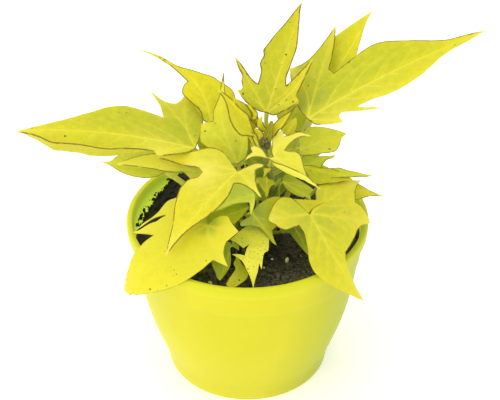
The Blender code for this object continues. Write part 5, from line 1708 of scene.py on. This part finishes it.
LOOKS = {
    "far_left": Look(0.25, 0.14, 1.0, 0.5, lean=-0.16, veins=0.85, dull=0.05, plain=RIGHT, painted_glow_half=LEFT,
                     joint=(0.34, 28, 1), fold=0.26),
    "back_left": Look(0.05, 0.04, 0.9, 0.3, fade=16),
    "inner_left": Look(0.3, 0.24, 0.8, 0.1, veins=0.6, painted_light_wash=0.08, light=0.06),
    "top": Look(0.34, 0.29, 1.1, 0.1, lean=0.12, veins=0.75, dull=0.16, joint=(0.4, 16, 1)),
    "far_right": Look(0.28, 0.12, 0.9, 0.4, lean=0.15, veins=0.8, dull=0.05, plain=RIGHT,
                      joint=(0.48, 30, 1), shaded=(LEFT, 0.62, 13)),
    "back_right": Look(0.3, 0.05, 0.5, 0.2),
    "right_oval": Look(0.26, 0.2, 0.7, 0.1, veins=0.7, painted_light_wash=0.20, light=0.085),
    "right_middle": Look(0.55, 0.15, 0.8, 0.1, veins=0.5, light=0.07),
    "right_low": Look(0.3, 0.1, 0.8, 0.3),
    "front_right": Look(0.1, 0.12, 0.8, 0.4, veins=0.7, painted_light_wash=0.08, light=0.02, plain=RIGHT,
                        joint=(0.74, 18, 1)),
    "crown": Look(0.0, 0.04, 1.0, 0.8, painted_light_wash=0.14, light=0.045),
    "front_left": Look(0.12, 0.1, 1.0, 0.8, veins=0.6, dull=0.03),
    "left_mid": Look(0.0, 0.05, 0.9, 0.4, painted_light_wash=0.34, light=0.075, joint=(1.0, 17, 7)),
    "left_low": Look(0.4, 0.15, 0.6, 0.3, painted_light_wash=0.14, light=0.05),
    # over_rim's strong green near its joint is painted shade, where front_left hangs over it
    "over_rim": Look(0.02, 0.2, 0.52, 0.2, veins=0.30, painted_light_wash=0.07, light=0.02, joint=(1.5, 5.5, 2)),
    "shade_upper": Look(0.3, 0.1, 0.7, 0.0, veins=0.5, painted_light_wash=0.14, light=0.19),
    "shade_lower": Look(0.7, 0.1, 0.7, 0.0, veins=0.5),
    "front_middle": Look(0.68, 0.1, 0.7, 0.0, lean=-0.28, veins=0.6, painted_light_wash=0.08, joint=(0.8, 9, 1)),
    "curled_small": Look(0.14, 0.7, 0.3, 0.2, lean=-0.15, veins=0.35, painted_light_wash=0.12, light=0.08),
    "centre_right": Look(0.8, 0.2, 0.7, 0.1, veins=0.6),
    "behind_top": Look(0.65, 0.15, 0.8, 0.1),
    "under_right": Look(1.1, 0.05, 0.4, 0.3),
    "low_back_left": Look(0.7, 0.1, 0.5, 0.1),
    "low_back_right": Look(0.7, 0.1, 0.5, 0.1),
    "young_pink": Look(0.2, 0.05, 1.2, 0.1, veins=0.5, painted_light_wash=0.12, light=0.02),
    "young_back": Look(0.3, 0.1, 1.2, 0.1),
    "young_narrow": Look(0.38, 0.1, 1.2, 0.2),
    "centre_small": Look(0.65, 0.25, 0.7, 0.0),
    "dark_green": Look(0.85, 0.2, 0.2, 0.0, veins=0.5),
    "browned": Look(0.45, 0.36, 2.4, 0.0, veins=0.4, dull=0.25, plain=LEFT),
    "young_second": Look(0.45, 0.1, 0.9, 0.1),
    "young_third": Look(0.2, 0.05, 1.0, 0.1),
    "young_fourth": Look(0.05, 0.05, 0.9, 0.1),
    "young_fifth": Look(0.1, 0.1, 0.9, 0.1),
    "young_khaki": Look(0.6, 0.2, 1.0, 0.2),
    "young_sixth": Look(0.25, 0.1, 0.8, 0.1),
    "young_upright": Look(1.0, 0.8, 0.6, 0.0, dull=0.55),
    # shade_strip, deep_left and deep_middle sit deep in the bush: their dark green is painted shade
    "shade_strip": Look(1.3, 0.05, 0.3, 0.0),
    "deep_left": Look(1.1, 0.05, 0.3, 0.0),
    "deep_middle": Look(1.2, 0.05, 0.3, 0.0),
    "twist": Look(0.3, 0.1, 0.6, 0.1),
    "crown_shade": Look(0.75, 0.1, 0.5, 0.0),
    "front_right_lap": Look(0.4, 0.1, 0.5, 0.1),
    "right_lap": Look(0.5, 0.1, 1.0, 0.1, veins=0.5),
    "behind_left": Look(0.75, 0.3, 0.5, 0.0),
    "young_right": Look(0.45, 0.1, 0.7, 0.1),
}


def outline_of(leaf, step):
    """The whole margin as a closed ring of flat points."""
    halves = []
    for half in (LEFT, RIGHT):
        line = margin(leaf, half, step)
        for fold_half, _, start, stop, width, _ in leaf.folds:
            if fold_half == half:
                share = np.clip((line[:, 0] - start) / (stop - start), 0, 1)
                line[:, 1] += width * np.sin(np.pi * share) ** 0.6
        if leaf.tatter:
            start, depth = leaf.tatter
            torn = np.array([noise.noise(Vector((p[0] * 0.55, p[1] * 0.55, half * 5))) for p in line])
            line[:, 1] += np.where(line[:, 0] > start, torn * depth * 2, 0)
        halves.append(line)
    left, right = halves
    right = right * (1, -1)
    return np.concatenate([left, right[-2:0:-1]])


def flat_pattern(leaf, step):
    """The flat leaf as triangles: points, faces, the ring, the main veins and the side veins."""
    ring = outline_of(leaf, step)
    mains = main_veins(leaf, ring)
    sides = side_veins(leaf, mains, ring)
    points = [Vector(p) for p in ring]
    edges = [(i, (i + 1) % len(ring)) for i in range(len(ring))]
    for line, _, _ in mains + sides:
        start = len(points)
        points.extend(Vector(p) for p in line)
        edges.extend((start + i, start + i + 1) for i in range(len(line) - 1))
    low, high = ring.min(0), ring.max(0)
    rows = []
    for i, aside in enumerate(np.arange(low[1], high[1], step * math.sqrt(3) / 2)):
        along = np.arange(low[0] + (i % 2) * step / 2, high[0], step)
        rows.append(np.stack([along, np.full(len(along), aside)], 1))
    grid = np.concatenate(rows)
    grid = grid[clearance(grid, ring) > step * 0.55]
    starts = np.concatenate([line[:-1] for line, _, _ in mains + sides])
    stops = np.concatenate([line[1:] for line, _, _ in mains + sides])
    grid = grid[distances(grid, starts, stops)[0] > step * 0.5]
    points.extend(Vector(p) for p in grid)
    flat, _, faces, *_ = delaunay_2d_cdt(points, edges, [], 1, 0.02)
    centres = np.array([[sum(flat[i][k] for i in face) / len(face) for k in (0, 1)] for face in faces])
    faces = [face for face, kept in zip(faces, inside_ring(centres, ring)) if kept]
    used = sorted({i for face in faces for i in face})
    number = {old: new for new, old in enumerate(used)}
    places = np.array([flat[i] for i in used], float)
    return places, [tuple(number[i] for i in face) for face in faces], ring, mains, sides


def nearness(points, veins, width):
    """1 on a vein and 0 at a distance, less where the vein is thin; and the plain distance."""
    starts = np.concatenate([line[:-1] for line, _, _ in veins])
    stops = np.concatenate([line[1:] for line, _, _ in veins])
    thickness = np.concatenate([np.linspace(a, b, len(line) - 1) for line, a, b in veins])
    gap, which = distances(points, starts, stops)
    return np.clip(1 - gap / width, 0, 1) * thickness[which], gap


def gap_to(flat, places):
    """Distance from each flat point to the nearest of some places."""
    return np.linalg.norm(flat[:, None] - np.array(places, float)[None], axis=2).min(1)


def bell(gap, width):
    """1 at no distance, and less and less further away."""
    return np.exp(-(gap / width) ** 2)


def leaf_values(leaf, look, flat, ring, mains, sides):
    """Numbers that the finish reads at each point of the blade."""
    rib, rib_gap = nearness(flat, mains, RIB_WIDTH)
    branch, branch_gap = nearness(flat, sides, BRANCH_WIDTH) if sides else (rib * 0, rib_gap)
    vein_gap = np.minimum(rib_gap, branch_gap)
    edge_gap = distances(flat, ring, np.roll(ring, -1, axis=0))[0]
    joint_gap = lengths_of(flat)
    half = np.where(flat[:, 1] >= 0, LEFT, RIGHT)
    out = np.abs(flat[:, 1])

    tips = [(leaf.length, 0)] + flat_tips(leaf)
    far_tips = [tip for tip in tips if math.hypot(*tip) > CREAM_FROM] or tips[:1]
    lined = np.where((half == look.plain) & (flat[:, 0] > 4), 0.15, 1.0)
    edge = np.clip(1 - edge_gap / EDGE_WIDTH, 0, 1) * look.brown * lined
    edge = edge * (1 - 0.9 * bell(gap_to(flat, tips), look.fade))
    creamy = look.cream * np.exp(-gap_to(flat, far_tips) / 8)
    creamy += 0.07 * min(look.cream, 0.4) * bell(rib_gap, 2.4)

    turned, shaded = np.zeros(len(flat)), np.zeros(len(flat))
    for fold_half, line, start, stop, _, _ in leaf.folds:
        past = out > np.interp(flat[:, 0], line[:, 0], line[:, 1])
        turned += (half == fold_half) & (flat[:, 0] > start) & (flat[:, 0] < stop) & past
    # painted shade on a lobe that another leaf shades
    if look.shaded:
        lobe_half, strength, reach = look.shaded
        shaded = strength * (half == lobe_half) * np.clip((out - 3) / 5, 0, 1) * bell(joint_gap, reach)

    joint_green, joint_reach, sharpness = look.joint or (0.50, 0.28 * leaf.length, 1)
    green = look.green + shaded + look.lean * np.clip(flat[:, 1] / 12, -1, 1)
    green -= 0.15 * np.exp(-edge_gap / 4) + 0.13 * bell(rib_gap, 2.0)
    near_joint = joint_green * np.exp(-(joint_gap / joint_reach) ** sharpness)
    green += near_joint * (1 - 0.6 * bell(vein_gap, 1.2))
    return {
        "rib": rib, "branch": branch, "edge": edge, "green": green,
        "faint": np.full(len(flat), look.veins),
        # cream at the tips, plus the cream wash that is painted light
        "cream_and_painted_light": np.minimum(1, look.painted_light_wash + creamy),
        "speckle": np.full(len(flat), look.specks ** 2),
        # the leaf's own olive tone, plus painted shade on turned-up margins and shaded lobes
        "dull": look.dull + look.fold * turned + 0.5 * shaded,
        # painted glow: the leaf's own share, and a little more on a half that light from behind comes through
        "painted_glow": look.light + 0.05 * (half == look.painted_glow_half) * (1 - turned),
    }, vein_gap


def make_blade(name, leaf):
    step = BLADE_STEP * min(1.0, max(0.6, leaf.length / 45))
    flat, faces, ring, mains, sides = flat_pattern(leaf, step)
    values, vein_gap = leaf_values(leaf, LOOKS[name], flat, ring, mains, sides)
    size = min(1.0, leaf.length / 60)
    places, upward = leaf.bend(flat)
    seed = sum(map(ord, name))
    waves = np.array([noise.noise(Vector((p[0] / 11, p[1] / 11, seed))) for p in flat])
    height = size * SWELLING * (1 - bell(vein_gap, 2.2))
    height -= GROOVE_DEPTH * (values["rib"] + 0.45 * values["branch"])
    height += size * RIPPLE * waves * (1 - np.exp(-np.abs(flat[:, 1]) / 9))
    places = places + upward * (height + BLADE_THICKNESS / 2)[:, None]
    blade = mesh_piece(name, (places * MM).tolist(), faces)
    data = blade.data
    for label, numbers in values.items():
        data.attributes.new(label, "FLOAT", "POINT").data.foreach_set("value", numbers.astype(np.float32))
    corner_points = np.zeros(len(data.loops), int)
    data.loops.foreach_get("vertex_index", corner_points)
    flat_map = (flat[corner_points] / 100).astype(np.float32)
    data.uv_layers.new(name="flat_leaf").data.foreach_set("uv", flat_map.ravel())
    ribs = blade.vertex_groups.new(name="ribs")
    for i, weight in enumerate(np.maximum(values["rib"], 0.5 * values["branch"])):
        ribs.add([i], float(weight), "REPLACE")
    data.materials.append(leaf_upper)
    data.materials.append(leaf_under)
    apply_modifier(blade, "SOLIDIFY", thickness=RIB_THICKNESS * MM, offset=-1, vertex_group="ribs",
                   thickness_vertex_group=SKIN_SHARE, material_offset=1)
    blade.vertex_groups.clear()
    stands_for = ["leaf_" + name] if name in LEAVES else []
    return finish_piece(blade, "blade_" + name, [leaf_upper, leaf_under], stands_for, smooth=48)


blades = {name: make_blade(name, leaf) for name, leaf in {**LEAVES, **SMALL_LEAVES}.items()}
print("blades:", len(blades), "pieces,", sum(len(b.data.polygons) for b in blades.values()), "faces")

# %% [markdown]
# ## The growing tip
# Every leaf starts in the bud on top of the main stem: a crumbly cluster of purple
# and green scales, a few millimetres across, with tiny folded leaves around it.
# Such a shape has no outline worth drawing, so it is built from many small lumps,
# crowded in an egg-shaped space, with a core that closes the gaps. Their number
# and size matter more than where each one sits.

# %% Build the growing tip
BUD_LUMPS = 420
BUD_HAIRS = 150
TIP_WIDTH = 3.1
TIP_HEIGHT = 5.2       # from the middle of the bud to its ends, along the stem
tip_low, tip_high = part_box("growing_tip")
tip_middle = (tip_low + tip_high) / 2 / MM
tip_reach = (tip_high - tip_low) / 2 / MM


def bud_places(count, inner, outer):
    """Places on an egg around the bare tip, between two shares of its size."""
    places = []
    for _ in range(count):
        way = random_way()
        reach = dice.uniform(inner, outer)
        place = (tip_middle[0] + way[0] * TIP_WIDTH * reach, tip_middle[1] + way[1] * TIP_WIDTH * reach,
                 tip_middle[2] - 1 + way[2] * TIP_HEIGHT * reach)
        places.append((place, dice.uniform(0.28, 0.60)))
    return places


def grow_hairs(count):
    hairs = []
    for _ in range(count):
        way = random_way()
        start = tip_middle + Vector([way[i] * tip_reach[i] for i in range(3)])
        bow = Vector((dice.gauss(0, 0.2), dice.gauss(0, 0.2), 0.3))
        middle, end = start + way * 1.0 + bow * 0.5, start + way * 1.7 + bow * 1.4
        hairs.append(thin_tube([start, middle, end], 0.07, 4))
    return join_shapes("tip_hairs", hairs, bud_hair)


bud_purple = make_plain_grain("bud_purple", (0.040, 0.014, 0.010), (0.16, 0.085, 0.05), 700.0, 0.55)
bud_green = make_plain_grain("bud_green", (0.10, 0.13, 0.02), (0.50, 0.50, 0.08), 900.0, 0.5)
bud_hair = make_plain_grain("bud_hair", (0.42, 0.44, 0.12), (0.66, 0.64, 0.24), 300.0, 0.5)
pick_none()
bpy.ops.mesh.primitive_ico_sphere_add(subdivisions=3, radius=1, location=tip_middle * MM)
tip_core = bpy.context.object
bpy.ops.transform.resize(value=(tip_reach + Vector((0.35, 0.35, 0.35))) * MM)
finish_piece(tip_core, "tip_core", [bud_purple], ["growing_tip"])
scatter("green_bud_scales", fine_lumps, bud_places(BUD_LUMPS, 0.75, 1.05), bud_green)
tip_front = [((x, y - 1.2, z), r) for (x, y, z), r in bud_places(BUD_LUMPS // 3, 0.3, 0.75)]
scatter("purple_bud_scales", fine_lumps, tip_front, bud_purple)
grow_hairs(BUD_HAIRS)
print("growing tip:", BUD_LUMPS, "lumps and", BUD_HAIRS, "hairs around", [round(x, 1) for x in tip_middle])
